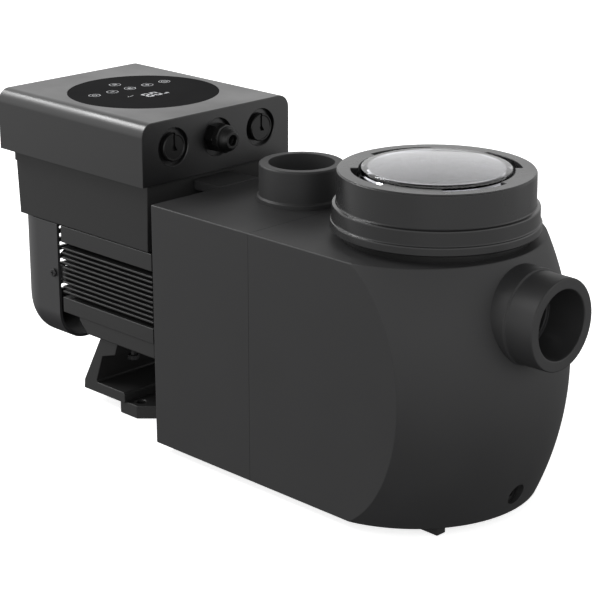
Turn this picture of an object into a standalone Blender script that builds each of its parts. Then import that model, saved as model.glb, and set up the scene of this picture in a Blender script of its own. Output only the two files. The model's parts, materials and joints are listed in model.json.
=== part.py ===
"""Pool pump with a strainer tank, a finned motor and a speed controller on top.

+X points to the suction end, +Z up. The origin is the middle of the base, at floor level.
Sizes in this file are millimetres; every helper turns them into metres.
"""
import math

import bmesh
import bpy
from mathutils import Matrix, Vector

MM = 0.001

# Casings
BODY_HALF_W = 111.0
BODY_Z0 = 8.0
BODY_Z1 = 239.0
BODY_REAR_X = -64.0
SEAM_X = 63.0
SEAM_GAP = 0.15
WALL = 7.0
NOSE_X = 154.3
NOSE_MID_R = 139.0
NOSE_END_R = 114.8
CORNER_CUT = 24.0
TIE_BOLTS = [(y, z) for y in (-99.0, 99.0) for z in (20.0, 227.0)]
TIE_BOLT_R = 4.0
TIE_BOLT_HOLE_R = 4.4
HEAD_SEAT_X = BODY_REAR_X + 10.0

# Ports, for 60.3 mm pipe
SOCKET_R = 30.15
PIPE_STOP_R = 26.5
INLET_Z = 191.0
INLET_END_X = 318.0
DISCHARGE_X = 17.3
DISCHARGE_TOP_Z = 273.6

# Lid
LID_X = 179.0
NECK_R = 82.0
NECK_TOP_Z = 283.5
NECK_BORE_R = 70.0
BASKET_SEAT_Z = 262.0
RING_TOP_Z = 297.5
RING_FOOT_Z = 246.5
RING_LIP_R = 66.3
NOTCH_ANGLES = (-112.0, -21.0, 70.0, 159.0)
NOTCH_R = 73.2
NOTCH_HALF_SPAN = 24.0

# Drain
DRAIN_Z = 28.0
DRAIN_SEAT_X = 262.0

# Shaft line
SHAFT_Z = 126.0
PUMP_OPENING_R = 90.0
SHAFT_R = 9.7
IMPELLER_R = 62.0

# Motor
FRAME_REAR_X = -235.5
FRAME_FRONT_X = -100.0
FRAME_HALF_W = 81.0
FRAME_BORE_R = 46.5
FRAME_TOP_Z = 177.7
FIN_ZONE = (104.0, 160.7)
BAND_LOW_Z = 88.5
FIN_TIP_Y = 80.6
FIN_ROOT_Y = 57.0
FIN_COUNT = 10

# Fan cover
COVER_REAR_X = -318.0
COVER_FRONT_X = -243.5
COVER_HALF_W = 79.5
COVER_Z0 = 53.0
COVER_Z1 = 177.6
COVER_WALL = 3.0
COVER_PLAN_R = 43.0
COVER_SIDE_R = 28.0
COVER_SCREW_X = -250.0

# Controller
LID_BOX_X = (-310.3, -94.4)
LID_BOX_HALF_W = 93.6
LID_BOX_Z = (244.6, 303.9)
LID_BOX_EDGE_R = 13.0
LID_BOX_WALL = 3.5
LOWER_BOX_HALF_W = 81.0
LOWER_BOX_Z0 = 178.2
PANEL_X = -200.8
PANEL_R = 73.6
ENTRY_Z = 277.0
ENTRY_Y = 55.6
ENTRY_FLOOR_X = -99.0

# Foot
FOOT_HALF_W = 75.0
PAD_TOP_Z = 13.4

AXES = {
    "X": Matrix(((0, 0, 1), (1, 0, 0), (0, 1, 0))).to_4x4(),
    "Y": Matrix(((1, 0, 0), (0, 0, -1), (0, 1, 0))).to_4x4(),
    "Z": Matrix.Identity(4),
}

SHAFT = ("X", (0.0, 0.0, SHAFT_Z))
LID = ("Z", (LID_X, 0.0, 0.0))
INLET = ("X", (0.0, 0.0, INLET_Z))
DISCHARGE = ("Z", (DISCHARGE_X, 0.0, 0.0))
DRAIN = ("X", (0.0, 0.0, DRAIN_Z))


# ---------------------------------------------------------------- helpers

def clear_scene():
    for obj in list(bpy.data.objects):
        bpy.data.objects.remove(obj, do_unlink=True)


def collection(name):
    coll = bpy.data.collections.new(name)
    bpy.context.scene.collection.children.link(coll)
    return coll


def material(name, colour, roughness, metallic=0.0, alpha=1.0):
    mat = bpy.data.materials.new(name)
    mat.use_nodes = True
    shader = mat.node_tree.nodes["Principled BSDF"]
    shader.inputs["Base Color"].default_value = (*colour, 1.0)
    shader.inputs["Roughness"].default_value = roughness
    shader.inputs["Metallic"].default_value = metallic
    shader.inputs["Alpha"].default_value = alpha
    return mat


def add_object(name, mesh, axis="Z", at=(0.0, 0.0, 0.0)):
    """Put a mesh in the scene, its local +Z along the named axis and its origin at `at`."""
    obj = bpy.data.objects.new(name, mesh)
    obj.matrix_world = Matrix.Translation(Vector(at) * MM) @ AXES[axis]
    CUTTERS.objects.link(obj)
    obj.hide_render = True
    obj.display_type = "WIRE"
    return obj


def mesh_from(name, bm):
    mesh = bpy.data.meshes.new(name)
    bm.to_mesh(mesh)
    bm.free()
    return mesh


def boxes(name, spans):
    """One mesh with a box for each (low corner, high corner) pair."""
    bm = bmesh.new()
    for low, high in spans:
        middle = (Vector(low) + Vector(high)) / 2 * MM
        size = (Vector(high) - Vector(low)) * MM
        bmesh.ops.create_cube(bm, size=1.0, matrix=Matrix.Translation(middle) @ Matrix.Diagonal((*size, 1.0)))
    return add_object(name, mesh_from(name, bm))


def box(name, low, high):
    return boxes(name, [(low, high)])


def radial_boxes(name, axis_at, count, radii, half_width, span):
    """Boxes set out round an axis, from one radius to another, along `span` of the axis."""
    bm = bmesh.new()
    inner, outer = radii
    middle = (inner + outer) / 2
    for i in range(count):
        turn = Matrix.Rotation(i * math.tau / count, 4, "Z")
        shift = Matrix.Translation(Vector((middle, 0, sum(span) / 2)) * MM)
        size = Vector((outer - inner, 2 * half_width, span[1] - span[0])) * MM
        bmesh.ops.create_cube(bm, size=1.0, matrix=turn @ shift @ Matrix.Diagonal((*size, 1.0)))
    return add_object(name, mesh_from(name, bm), *axis_at)


def rods(name, axis, places, radius, span, steps=12):
    """Parallel cylinders along an axis, one at each place across it, from span[0] to span[1]."""
    bm = bmesh.new()
    for across in places:
        shift = Matrix.Translation(Vector((*across, sum(span) / 2)) * MM)
        bmesh.ops.create_cone(bm, cap_ends=True, segments=steps, radius1=radius * MM,
                              radius2=radius * MM, depth=(span[1] - span[0]) * MM, matrix=shift)
    return add_object(name, mesh_from(name, bm), axis)


def turned(name, profile, axis_at, closed=False, steps=32):
    """Turn a profile of (radius, height) points, listed down the outer side, about an axis."""
    mesh = bpy.data.meshes.new(name)
    edges = [(i, i + 1) for i in range(len(profile) - 1)]
    if closed:
        edges.append((len(profile) - 1, 0))
    mesh.from_pydata([(r * MM, 0.0, h * MM) for r, h in profile], edges, [])
    obj = add_object(name, mesh, *axis_at)
    screw = obj.modifiers.new("turn", "SCREW")
    screw.axis = "Z"
    screw.angle = math.tau
    screw.steps = steps
    screw.render_steps = steps
    screw.use_merge_vertices = True
    screw.merge_threshold = 0.00001
    return obj


def ring_torus(name, major, minor, axis, at, steps=20, sides=5):
    """An O-ring: a round section turned about its axis."""
    section = [(major + minor * math.cos(a), minor * math.sin(a))
               for a in (-i * math.tau / sides for i in range(sides))]
    return turned(name, section, (axis, at), closed=True, steps=steps)


def circle(radius, steps):
    return [(radius * math.cos(i * math.tau / steps), radius * math.sin(i * math.tau / steps))
            for i in range(steps)]


def hexagon(across_flats):
    return circle(across_flats / math.sqrt(3.0), 6)


def curve_mesh(name, curve):
    """The closed mesh of a curve's surface."""
    guide = bpy.data.objects.new(name + "_curve", curve)
    CUTTERS.objects.link(guide)
    depsgraph = bpy.context.evaluated_depsgraph_get()
    mesh = bpy.data.meshes.new_from_object(guide.evaluated_get(depsgraph))
    bpy.data.objects.remove(guide, do_unlink=True)
    bm = bmesh.new()
    bm.from_mesh(mesh)
    bmesh.ops.remove_doubles(bm, verts=bm.verts, dist=0.00001)
    bm.to_mesh(mesh)
    bm.free()
    return mesh


def prism(name, outlines, axis, span, at=(0.0, 0.0, 0.0), edge_r=0.0):
    """Extrude closed outlines along an axis: the first is the outside, the rest are holes."""
    curve = bpy.data.curves.new(name, "CURVE")
    curve.dimensions = "2D"
    curve.fill_mode = "BOTH"
    curve.extrude = (span[1] - span[0]) / 2 * MM - edge_r * MM
    curve.bevel_depth = edge_r * MM
    curve.bevel_resolution = 2
    curve.offset = -edge_r * MM
    for outline in outlines:
        spline = curve.splines.new("POLY")
        spline.points.add(len(outline) - 1)
        for point, (u, v) in zip(spline.points, outline):
            point.co = (u * MM, v * MM, 0.0, 1.0)
        spline.use_cyclic_u = True
    mesh = curve_mesh(name, curve)
    middle = sum(span) / 2 * (-1 if axis == "Y" else 1)
    mesh.transform(Matrix.Translation((0.0, 0.0, middle * MM)))
    return add_object(name, mesh, axis, at)


def tube(name, points, radius):
    """A round bar along a line of points."""
    curve = bpy.data.curves.new(name, "CURVE")
    curve.dimensions = "3D"
    curve.bevel_depth = radius * MM
    curve.bevel_resolution = 1
    curve.use_fill_caps = True
    spline = curve.splines.new("POLY")
    spline.points.add(len(points) - 1)
    for point, place in zip(spline.points, points):
        point.co = (*(Vector(place) * MM), 1.0)
    return add_object(name, curve_mesh(name, curve))


def combine(obj, other, operation, solver="EXACT"):
    step = obj.modifiers.new(operation.lower() + "_" + other.name, "BOOLEAN")
    step.operation = operation
    step.solver = solver
    step.object = other
    return obj


def cut(obj, *others, solver="EXACT"):
    for other in others:
        combine(obj, other, "DIFFERENCE", solver)
    return obj


def join(obj, *others, solver="EXACT"):
    for other in others:
        combine(obj, other, "UNION", solver)
    return obj


def keep(obj, mat):
    """Make an object one of the pump's parts."""
    CUTTERS.objects.unlink(obj)
    PARTS.objects.link(obj)
    obj.hide_render = False
    obj.display_type = "TEXTURED"
    obj.data.materials.clear()
    obj.data.materials.append(mat)
    if obj.data.polygons:
        obj.data.shade_smooth()
        obj.data.set_sharp_from_angle(angle=math.radians(30))
    return obj


def octagon(half_w, z0, z1, corner):
    """A rectangle across the pump with its four corners cut at 45 degrees."""
    right = [(half_w, z0 + corner), (half_w, z1 - corner), (half_w - corner, z1)]
    left = [(-half_w + corner, z1), (-half_w, z1 - corner), (-half_w, z0 + corner)]
    return right + left + [(-half_w + corner, z0), (half_w - corner, z0)]


def hollow_outline(grow):
    """The rear casing's hollow, grown outwards by a margin."""
    corner = CORNER_CUT + grow * (2.0 - math.sqrt(2.0))
    return octagon(BODY_HALF_W - WALL + grow, BODY_Z0 + WALL - grow, BODY_Z1 - WALL + grow, corner)


def rounded_outline(half_w, z0, z1, low_r, high_r, steps=4):
    """A rectangle across the pump with one radius at its low corners and one at its high ones."""
    corners = [(half_w - low_r, z0 + low_r, low_r, -90.0), (half_w - high_r, z1 - high_r, high_r, 0.0),
               (-half_w + high_r, z1 - high_r, high_r, 90.0), (-half_w + low_r, z0 + low_r, low_r, 180.0)]
    points = []
    for y, z, radius, start in corners:
        if radius == 0.0:
            points.append((y, z))
            continue
        for i in range(steps + 1):
            angle = math.radians(start + 90.0 * i / steps)
            points.append((y + radius * math.cos(angle), z + radius * math.sin(angle)))
    return points


# ---------------------------------------------------------------- casings

def nose_profile(inset):
    """The front's bulged side, from above the top down to below the base."""
    half_h = (BODY_Z1 - BODY_Z0) / 2
    middle_z = (BODY_Z1 + BODY_Z0) / 2
    bulge = NOSE_MID_R - NOSE_END_R
    arc_r = (half_h ** 2 + bulge ** 2) / (2 * bulge)
    reach = half_h + 6.0
    steps = 6
    points = []
    for i in range(steps + 1):
        dz = reach - 2 * reach * i / steps
        radius = NOSE_MID_R - inset - arc_r + math.sqrt(arc_r ** 2 - dz ** 2)
        points.append((radius, middle_z + dz))
    return [(0.0, points[0][1])] + points + [(0.0, points[-1][1])]


def front_block(name, inset, rear_x):
    """The front casing's outside, or its hollow when inset."""
    half_w = BODY_HALF_W - inset
    z0, z1 = BODY_Z0 + inset, BODY_Z1 - inset
    front_x = NOSE_X + NOSE_MID_R + 5.0
    block = box(name, (rear_x, -half_w, z0), (front_x, half_w, z1))
    nose = turned(name + "_nose", nose_profile(inset), ("Z", (NOSE_X, 0.0, 0.0)), steps=36)
    behind = box(name + "_behind", (rear_x - 5.0, -half_w - 3.0, z0 - 4.0), (NOSE_X + 4.0, half_w + 3.0, z1 + 4.0))
    return combine(block, join(nose, behind), "INTERSECT")


def build_front_casing():
    face_x = SEAM_X + SEAM_GAP
    casing = front_block("front_casing", 0.0, face_x)
    hollow = front_block("tank_hollow", WALL, face_x + WALL)
    neck_hole = turned("neck_hole", [(0, 250), (NECK_BORE_R, 250), (NECK_BORE_R, 220), (0, 220)], LID)
    cut(casing, hollow, neck_hole)

    seat_r, low_z, groove_z = NECK_BORE_R - 3.2, BODY_Z1 - 9.0, 278.8
    neck = turned("neck", [(NECK_R, NECK_TOP_Z), (NECK_R, low_z), (seat_r, low_z),
                           (seat_r, BASKET_SEAT_Z), (NECK_BORE_R, BASKET_SEAT_Z), (NECK_BORE_R, NECK_TOP_Z),
                           (72.2, NECK_TOP_Z), (72.2, groove_z), (78.4, groove_z), (78.4, NECK_TOP_Z)],
                  LID, closed=True)
    rim_r, collar_r, collar_x, collar_end_x = 40.0, 44.0, 290.0, 262.0
    inlet = turned("inlet_stub", [(0, INLET_END_X), (rim_r - 1.2, INLET_END_X), (rim_r, INLET_END_X - 1.2),
                                  (rim_r + 0.2, collar_x + 1.5), (collar_r, collar_x),
                                  (collar_r, collar_end_x), (0, collar_end_x)], INLET)
    suction_boss = turned("suction_boss", [(0, 80), (42, 80), (42, face_x + 1), (0, face_x + 1)], SHAFT)
    drain_boss = turned("drain_boss", [(0, 268), (15, 268), (15, 250), (0, 250)], DRAIN, steps=16)
    bolt_bosses = rods("bolt_bosses", "X", TIE_BOLTS, 10.5, (face_x + 2, 88.0))
    join(casing, neck, inlet, suction_boss, drain_boss, bolt_bosses)

    inlet_bore = turned("inlet_bore", [(0, 330), (SOCKET_R, 330), (SOCKET_R, 281), (PIPE_STOP_R, 281),
                                       (PIPE_STOP_R, 250), (0, 250)], INLET)
    suction_bore = turned("suction_bore", [(0, 92), (29.8, 92), (29.8, 50), (0, 50)], SHAFT)
    drain_bore = turned("drain_bore", [(0, 300), (9.6, 300), (9.6, DRAIN_SEAT_X), (7.2, DRAIN_SEAT_X),
                                       (7.2, 240), (0, 240)], DRAIN, steps=16)
    bolt_holes = rods("front_bolt_holes", "X", TIE_BOLTS, TIE_BOLT_HOLE_R, (50.0, 80.0))
    # The exact solver leaves open edges where these bores meet the many-faced shell.
    cut(casing, inlet_bore, suction_bore, drain_bore, bolt_holes, solver="MANIFOLD")
    keep(casing, BLACK)


def build_rear_casing():
    face_x = SEAM_X - SEAM_GAP
    casing = box("rear_casing", (BODY_REAR_X, -BODY_HALF_W, BODY_Z0), (face_x, BODY_HALF_W, BODY_Z1))
    rear_wall = 9.0
    hollow = prism("volute_hollow", [hollow_outline(0.0)], "X", (BODY_REAR_X + rear_wall, 75.0))
    opening = turned("rear_opening", [(0, -45), (PUMP_OPENING_R, -45), (PUMP_OPENING_R, -80), (0, -80)], SHAFT)
    cut(casing, hollow, opening)

    rim_r, top = 39.0, DISCHARGE_TOP_Z
    stub = turned("discharge_stub", [(0, top), (rim_r - 1.6, top), (rim_r - 0.4, top - 0.5), (rim_r, top - 1.6),
                                     (rim_r, 244), (rim_r + 2, 243), (rim_r + 2, 226), (0, 226)], DISCHARGE)
    join(casing, stub)
    bore = turned("discharge_bore", [(0, 290), (SOCKET_R, 290), (SOCKET_R, 236), (PIPE_STOP_R, 236),
                                     (PIPE_STOP_R, 215), (0, 215)], DISCHARGE)
    bolt_holes = rods("rear_bolt_holes", "X", TIE_BOLTS, TIE_BOLT_HOLE_R, (-80.0, 70.0))
    head_wells = rods("head_wells", "X", TIE_BOLTS, 8.5, (-80.0, HEAD_SEAT_X))
    groove = prism("gasket_groove", [hollow_outline(5.3), hollow_outline(1.7)], "X", (face_x - 2.3, 66.0))
    cut(casing, bore, bolt_holes, head_wells, groove, solver="MANIFOLD")
    keep(casing, BLACK)


def build_casing_joint():
    face_x = SEAM_X - SEAM_GAP
    gasket = prism("casing_gasket", [hollow_outline(5.0), hollow_outline(2.0)], "X", (face_x - 2.0, face_x))
    keep(gasket, RUBBER)

    for i, corner in enumerate(TIE_BOLTS):
        bolt = rods("tie_bolt_%d" % (i + 1), "X", [corner], TIE_BOLT_R, (HEAD_SEAT_X - 0.7, 78.0))
        head_span = (HEAD_SEAT_X - 6.0, HEAD_SEAT_X - 0.3)
        head = rods("tie_bolt_head_%d" % (i + 1), "X", [corner], 7.4, head_span, steps=6)
        keep(join(bolt, head), STEEL)


def build_front_foot():
    """A cross bar under the tank with a pad at each end."""
    x0, x1, y0, y1 = 224.0, 246.0, 55.0, 66.0
    top, bar_z = BODY_Z0 - 0.3, 3.0
    foot = box("front_foot", (x0 + 2.0, -y1 + 2.0, bar_z), (x1 - 2.0, y1 - 2.0, top - 0.4))
    pads = boxes("front_pads", [((x0, y0, 0.0), (x1, y1, top)), ((x0, -y1, 0.0), (x1, -y0, top))])
    keep(join(foot, pads), RUBBER)


# ---------------------------------------------------------------- strainer

def notch_outline(middle, steps=6):
    """A sector that runs past the lip's edge and out to the notch's depth."""
    turns = [math.radians(middle + NOTCH_HALF_SPAN * (2 * i / steps - 1)) for i in range(steps + 1)]
    inner = [(60.0 * math.cos(turn), 60.0 * math.sin(turn)) for turn in (turns[-1], turns[0])]
    return [(NOTCH_R * math.cos(turn), NOTCH_R * math.sin(turn)) for turn in turns] + inner


def build_lid():
    rim_r = 64.5
    crown = [(0, 303.0), (22, 302.75), (42, 302.0), (57, 301.1), (62.5, 300.4), (rim_r, 299.0)]
    skirt = [(rim_r, 289.2), (79, 289.2), (79, 283.8), (60, 283.8), (60, 294.6), (0, 297.4)]
    lens = turned("lid_lens", crown + skirt, LID)
    keep(lens, CLEAR)

    seal = ring_torus("lid_o_ring", 75.3, 2.2, "Z", (LID_X, 0.0, 281.3))
    keep(seal, RUBBER)

    outside = [(84, RING_TOP_Z), (85, RING_TOP_Z - 1), (85.4, 268.5), (88.9, 267.6), (88.9, 254.8),
               (90.6, 254.0), (90.6, 247.3), (89.8, RING_FOOT_Z)]
    inside = [(NECK_R + 0.9, RING_FOOT_Z), (NECK_R + 0.9, 289.5), (RING_LIP_R, 289.5), (RING_LIP_R, RING_TOP_Z)]
    ring = turned("lock_ring", outside + inside, LID, closed=True)
    for i, angle in enumerate(NOTCH_ANGLES):
        cut(ring, prism("grip_notch_%d" % (i + 1), [notch_outline(angle)], "Z", (280.0, 310.0), LID[1]))
    keep(ring, BLACK)


def build_basket():
    floor_z, wall = 52.0, 2.5
    top_r, low_r, rim_r = 66.0, 58.0, 69.6
    rim_z = BASKET_SEAT_Z + 0.3
    cup = [(0, floor_z + wall), (low_r - wall, floor_z + wall), (top_r - wall, rim_z), (top_r - wall, rim_z + 3.7),
           (rim_r, rim_z + 3.7), (rim_r, rim_z), (top_r, rim_z), (low_r, floor_z), (0, floor_z)]
    basket = turned("strainer_basket", cup, LID, steps=24)
    handle_path = []
    for i in range(7):
        swing = math.radians(180.0 * i / 6)
        handle_path.append((LID_X, 66.2 * math.cos(swing), rim_z + 2 + 14.5 * math.sin(swing)))
    join(basket, tube("basket_handle", handle_path, 2.6))
    cut(basket, radial_boxes("basket_slots", LID, 12, (50.0, 75.0), 3.5, (75.0, 240.0)))
    keep(basket, GREY)


def build_drain_plug():
    head_x = DRAIN_SEAT_X + 2.2
    plug = turned("drain_plug", [(0, 270), (8.4, 270), (9.2, 269.2), (9.2, head_x), (6.9, head_x),
                                 (6.9, 251), (0, 251)], DRAIN, steps=16)
    socket = prism("drain_socket", [hexagon(8.0)], "X", (265.0, 280.0), (0.0, 0.0, DRAIN_Z))
    keep(cut(plug, socket), BLACK)
    keep(ring_torus("drain_plug_o_ring", 8.3, 0.75, "X", (DRAIN_SEAT_X + 1.1, 0.0, DRAIN_Z), 12), RUBBER)


# ---------------------------------------------------------------- wet end

def build_diffuser():
    wall_x, rear_x = -8.0, -49.5
    tube_r, tube_bore = 29.5, 25.0
    shell = [(tube_r, 77), (tube_r, 73.6), (tube_r - 2.3, 73.6), (tube_r - 2.3, 69.2), (tube_r, 69.2),
             (tube_r, 0), (82, -2), (82, rear_x), (78, rear_x), (78, wall_x), (27.6, wall_x),
             (27.6, -3.4), (tube_bore, -3.4), (tube_bore, 77)]
    diffuser = turned("diffuser", shell, SHAFT, closed=True, steps=24)
    cut(diffuser, radial_boxes("diffuser_windows", SHAFT, 4, (70.0, 95.0), 20.0, (-41.0, -18.0)))
    keep(diffuser, GREY)
    keep(ring_torus("diffuser_o_ring", 28.45, 0.85, "X", (71.4, 0.0, SHAFT_Z), 20), RUBBER)


def vane_outline(turn):
    """One swept-back impeller vane: a thin strip along a logarithmic spiral."""
    inner_r, outer_r, half_t, steps = 21.0, 60.5, 1.2, 4
    sweep = 1.15
    front, back = [], []
    for i in range(steps + 1):
        r = inner_r + (outer_r - inner_r) * i / steps
        angle = turn - sweep * math.log(r / inner_r)
        side = half_t / r * math.sqrt(1.0 + sweep ** 2)
        front.append((r * math.cos(angle + side), r * math.sin(angle + side)))
        back.append((r * math.cos(angle - side), r * math.sin(angle - side)))
    return back + front[::-1]


def build_impeller():
    bore = 8.3
    back = [(13, -15), (17, -25), (IMPELLER_R, -25), (IMPELLER_R, -28), (13, -28), (13, -30.7),
            (bore, -30.7), (bore, -15)]
    impeller = turned("impeller", back, SHAFT, closed=True, steps=20)
    front = [(27, -4.2), (27, -11), (IMPELLER_R, -11), (IMPELLER_R, -14), (24, -14), (24, -4.2)]
    join(impeller, turned("front_shroud", front, SHAFT, closed=True, steps=20))
    for i in range(5):
        outline = vane_outline(i * math.tau / 5)
        join(impeller, prism("impeller_vane_%d" % (i + 1), [outline], "X", (-26.5, -12.5), (0.0, 0.0, SHAFT_Z)))
    keep(impeller, GREY)

    screw = turned("impeller_screw", [(0, -8.5), (8, -8.5), (9, -9.5), (9, -14.6), (3, -14.6), (3, -32), (0, -32)],
                   SHAFT, steps=12)
    socket = prism("screw_socket", [hexagon(6.0)], "X", (-12.5, 0.0), (0.0, 0.0, SHAFT_Z))
    keep(cut(screw, socket), STEEL)


def build_shaft_seal():
    head = [(17, -31.2), (17, -36), (14.5, -38), (17, -40), (17, -45), (15.5, -45), (15.5, -49.2),
            (10.1, -49.2), (10.1, -31.2)]
    keep(turned("seal_head", head, SHAFT, closed=True, steps=16), STEEL)
    seat = [(14.5, -49.5), (17.5, -50.5), (17.5, -57.0), (10.4, -57.0), (10.4, -49.5)]
    keep(turned("seal_seat", seat, SHAFT, closed=True, steps=20), CERAMIC)

    plate = [(89.6, -50), (89.6, -56), (86.8, -56), (86.8, -60), (89.6, -60), (89.6, -64.3), (102, -64.3),
             (102, -72), (82, -72), (82, -58), (30, -58), (30, -66), (12, -66), (12, -57.3),
             (17.8, -57.3), (17.8, -50)]
    keep(turned("seal_plate", plate, SHAFT, closed=True, steps=24), BLACK)
    keep(ring_torus("seal_plate_o_ring", 88.2, 1.1, "X", (-58.0, 0.0, SHAFT_Z), 24), RUBBER)

    slinger = [(10.0, -74.5), (20, -75.5), (20, -77.0), (13, -79.0), (10.0, -79.0)]
    keep(turned("slinger", slinger, SHAFT, closed=True, steps=20), RUBBER)


# ---------------------------------------------------------------- motor

def build_motor_shaft():
    steps_down = [(0, -34), (3.3, -34), (3.3, -16), (7.5, -16), (8, -16.5), (8, -40), (SHAFT_R, -40),
                  (SHAFT_R, -100), (14, -100), (14, -232), (8.2, -232), (8.2, -252), (7, -252), (7, -287),
                  (6, -288), (0, -288)]
    keep(turned("motor_shaft", steps_down, SHAFT, steps=16), STEEL)


def bearing_set(name, middle_x, width, bore_r, outer_r, ball_r, ball_count):
    """A deep-groove ball bearing: outer ring, inner ring, and its balls in their cage."""
    low, high = middle_x - width / 2, middle_x + width / 2
    pitch_r = (bore_r + outer_r) / 2
    land = ball_r * 0.62
    groove = 0.6
    outer = [(outer_r, high), (outer_r, low), (pitch_r + land, low),
             (pitch_r + ball_r + groove, middle_x - ball_r * 0.4), (pitch_r + ball_r + groove, middle_x + ball_r * 0.4),
             (pitch_r + land, high)]
    keep(turned(name + "_outer", outer, SHAFT, closed=True, steps=20), STEEL)
    inner = [(pitch_r - land, high), (pitch_r - ball_r - groove, middle_x + ball_r * 0.4),
             (pitch_r - ball_r - groove, middle_x - ball_r * 0.4), (pitch_r - land, low), (bore_r, low),
             (bore_r, high)]
    keep(turned(name + "_inner", inner, SHAFT, closed=True, steps=16), STEEL)

    bm = bmesh.new()
    for i in range(ball_count):
        angle = i * math.tau / ball_count
        centre = Vector((pitch_r * math.cos(angle), pitch_r * math.sin(angle), middle_x)) * MM
        bmesh.ops.create_uvsphere(bm, u_segments=6, v_segments=4, radius=ball_r * MM,
                                  matrix=Matrix.Translation(centre))
    balls = add_object(name + "_ball_set", mesh_from(name + "_ball_set", bm), *SHAFT)
    cage = ring_torus(name + "_cage", pitch_r, 1.1, "X", (middle_x, 0.0, SHAFT_Z), 14, 4)
    cage.name = name + "_balls"
    keep(join(cage, balls), STEEL)


def build_wave_spring():
    """A wavy spring washer behind the rear bearing."""
    inner_r, outer_r, steps, waves, height = 14.5, 19.3, 24, 3, 0.7
    bm = bmesh.new()
    rows = []
    for i in range(steps):
        angle = i * math.tau / steps
        x = -247.8 + height * math.sin(waves * angle)
        rows.append([bm.verts.new(Vector((r * math.cos(angle), r * math.sin(angle), x)) * MM)
                     for r in (inner_r, outer_r)])
    for i, (near, far) in enumerate(rows):
        next_near, next_far = rows[(i + 1) % steps]
        bm.faces.new((near, far, next_far, next_near))
    spring = add_object("wave_spring", mesh_from("wave_spring", bm), *SHAFT)
    thickness = spring.modifiers.new("thickness", "SOLIDIFY")
    thickness.thickness = 0.4 * MM
    thickness.offset = 0.0
    keep(spring, STEEL)


def frame_outline():
    """Half of the motor frame's section: the upper band, the comb of fins, the lower band."""
    low, high = FIN_ZONE
    pitch = (high - low) / (FIN_COUNT + 1.4)
    fin_t = pitch * 0.5
    half = [(FRAME_HALF_W, FRAME_TOP_Z), (FRAME_HALF_W, high), (FIN_ROOT_Y, high)]
    for i in range(FIN_COUNT):
        top = high - pitch * (i + 1.25) + fin_t / 2
        half += [(FIN_ROOT_Y, top), (FIN_TIP_Y, top - 0.2), (FIN_TIP_Y, top - fin_t + 0.2), (FIN_ROOT_Y, top - fin_t)]
    half += [(FIN_ROOT_Y, low), (FRAME_HALF_W, low), (FRAME_HALF_W, BAND_LOW_Z)]
    under_r = 52.0
    start = math.asin((BAND_LOW_Z - SHAFT_Z) / under_r)
    for i in range(7):
        angle = start + (-math.pi / 2 - start) * i / 6
        half.append((under_r * math.cos(angle), SHAFT_Z + under_r * math.sin(angle)))
    return half + [(-y, z) for y, z in half[-2::-1]]


def build_motor_frame():
    frame = prism("motor_frame", [frame_outline()], "X", (FRAME_REAR_X, FRAME_FRONT_X))
    rear_x, low_z, inside_z = -213.0, 73.0, 94.0
    block = [(rear_x, inside_z), (rear_x, 84.8), (rear_x + 12.0, low_z), (FRAME_FRONT_X - 0.5, low_z),
             (FRAME_FRONT_X - 0.5, inside_z)]
    block_half_w = FRAME_HALF_W - 1.4
    join(frame, prism("frame_block", [block], "Y", (-block_half_w, block_half_w)), solver="MANIFOLD")
    bore = turned("frame_bore", [(0, -90), (FRAME_BORE_R, -90), (FRAME_BORE_R, -245), (0, -245)], SHAFT)
    foot_holes = rods("frame_foot_holes", "Z", [(-173.0, 45.0), (-173.0, -45.0)], 3.4, (60.0, 88.0), steps=12)
    keep(cut(frame, bore, foot_holes, solver="MANIFOLD"), CASTING)


def build_windings_and_cores():
    slots, outer_r, tooth_r, slot_r = 12, FRAME_BORE_R - 0.5, 26.6, 38.0
    laminations = [(outer_r, -125), (outer_r, -205), (tooth_r, -205), (tooth_r, -125)]
    core = turned("stator_core", laminations, SHAFT, closed=True, steps=36)
    keep(cut(core, radial_boxes("winding_slots", SHAFT, slots, (20.0, slot_r), 3.6, (-210.0, -120.0))), LAMINATION)

    section = [(44, 0.0), (44, 12.0), (41, 15.5), (33, 15.5), (29, 12.0), (29, 0.0)]
    bm = bmesh.new()
    for base, direction in ((-124.7, 1.0), (-205.3, -1.0)):
        loop = [bm.verts.new((r * MM, 0.0, (base + direction * h) * MM)) for r, h in section]
        ends = [bm.edges.new((loop[i - 1], loop[i])) for i in range(len(loop))]
        bmesh.ops.spin(bm, geom=loop + ends, cent=(0, 0, 0), axis=(0, 0, 1), angle=math.tau, steps=20,
                       use_merge=True)
    bmesh.ops.remove_doubles(bm, verts=bm.verts, dist=0.00001)
    bmesh.ops.recalc_face_normals(bm, faces=bm.faces)
    windings = add_object("stator_windings", mesh_from("stator_windings", bm), *SHAFT)
    coils = radial_boxes("slot_coils", SHAFT, slots, (30.0, slot_r - 1.0), 3.0, (-206.5, -123.5))
    keep(join(windings, coils), COPPER)

    rotor = [(25.0, -127), (25.8, -128), (25.8, -202), (25.0, -203), (14.3, -203), (14.3, -127)]
    keep(turned("rotor_core", rotor, SHAFT, closed=True, steps=24), LAMINATION)


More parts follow.
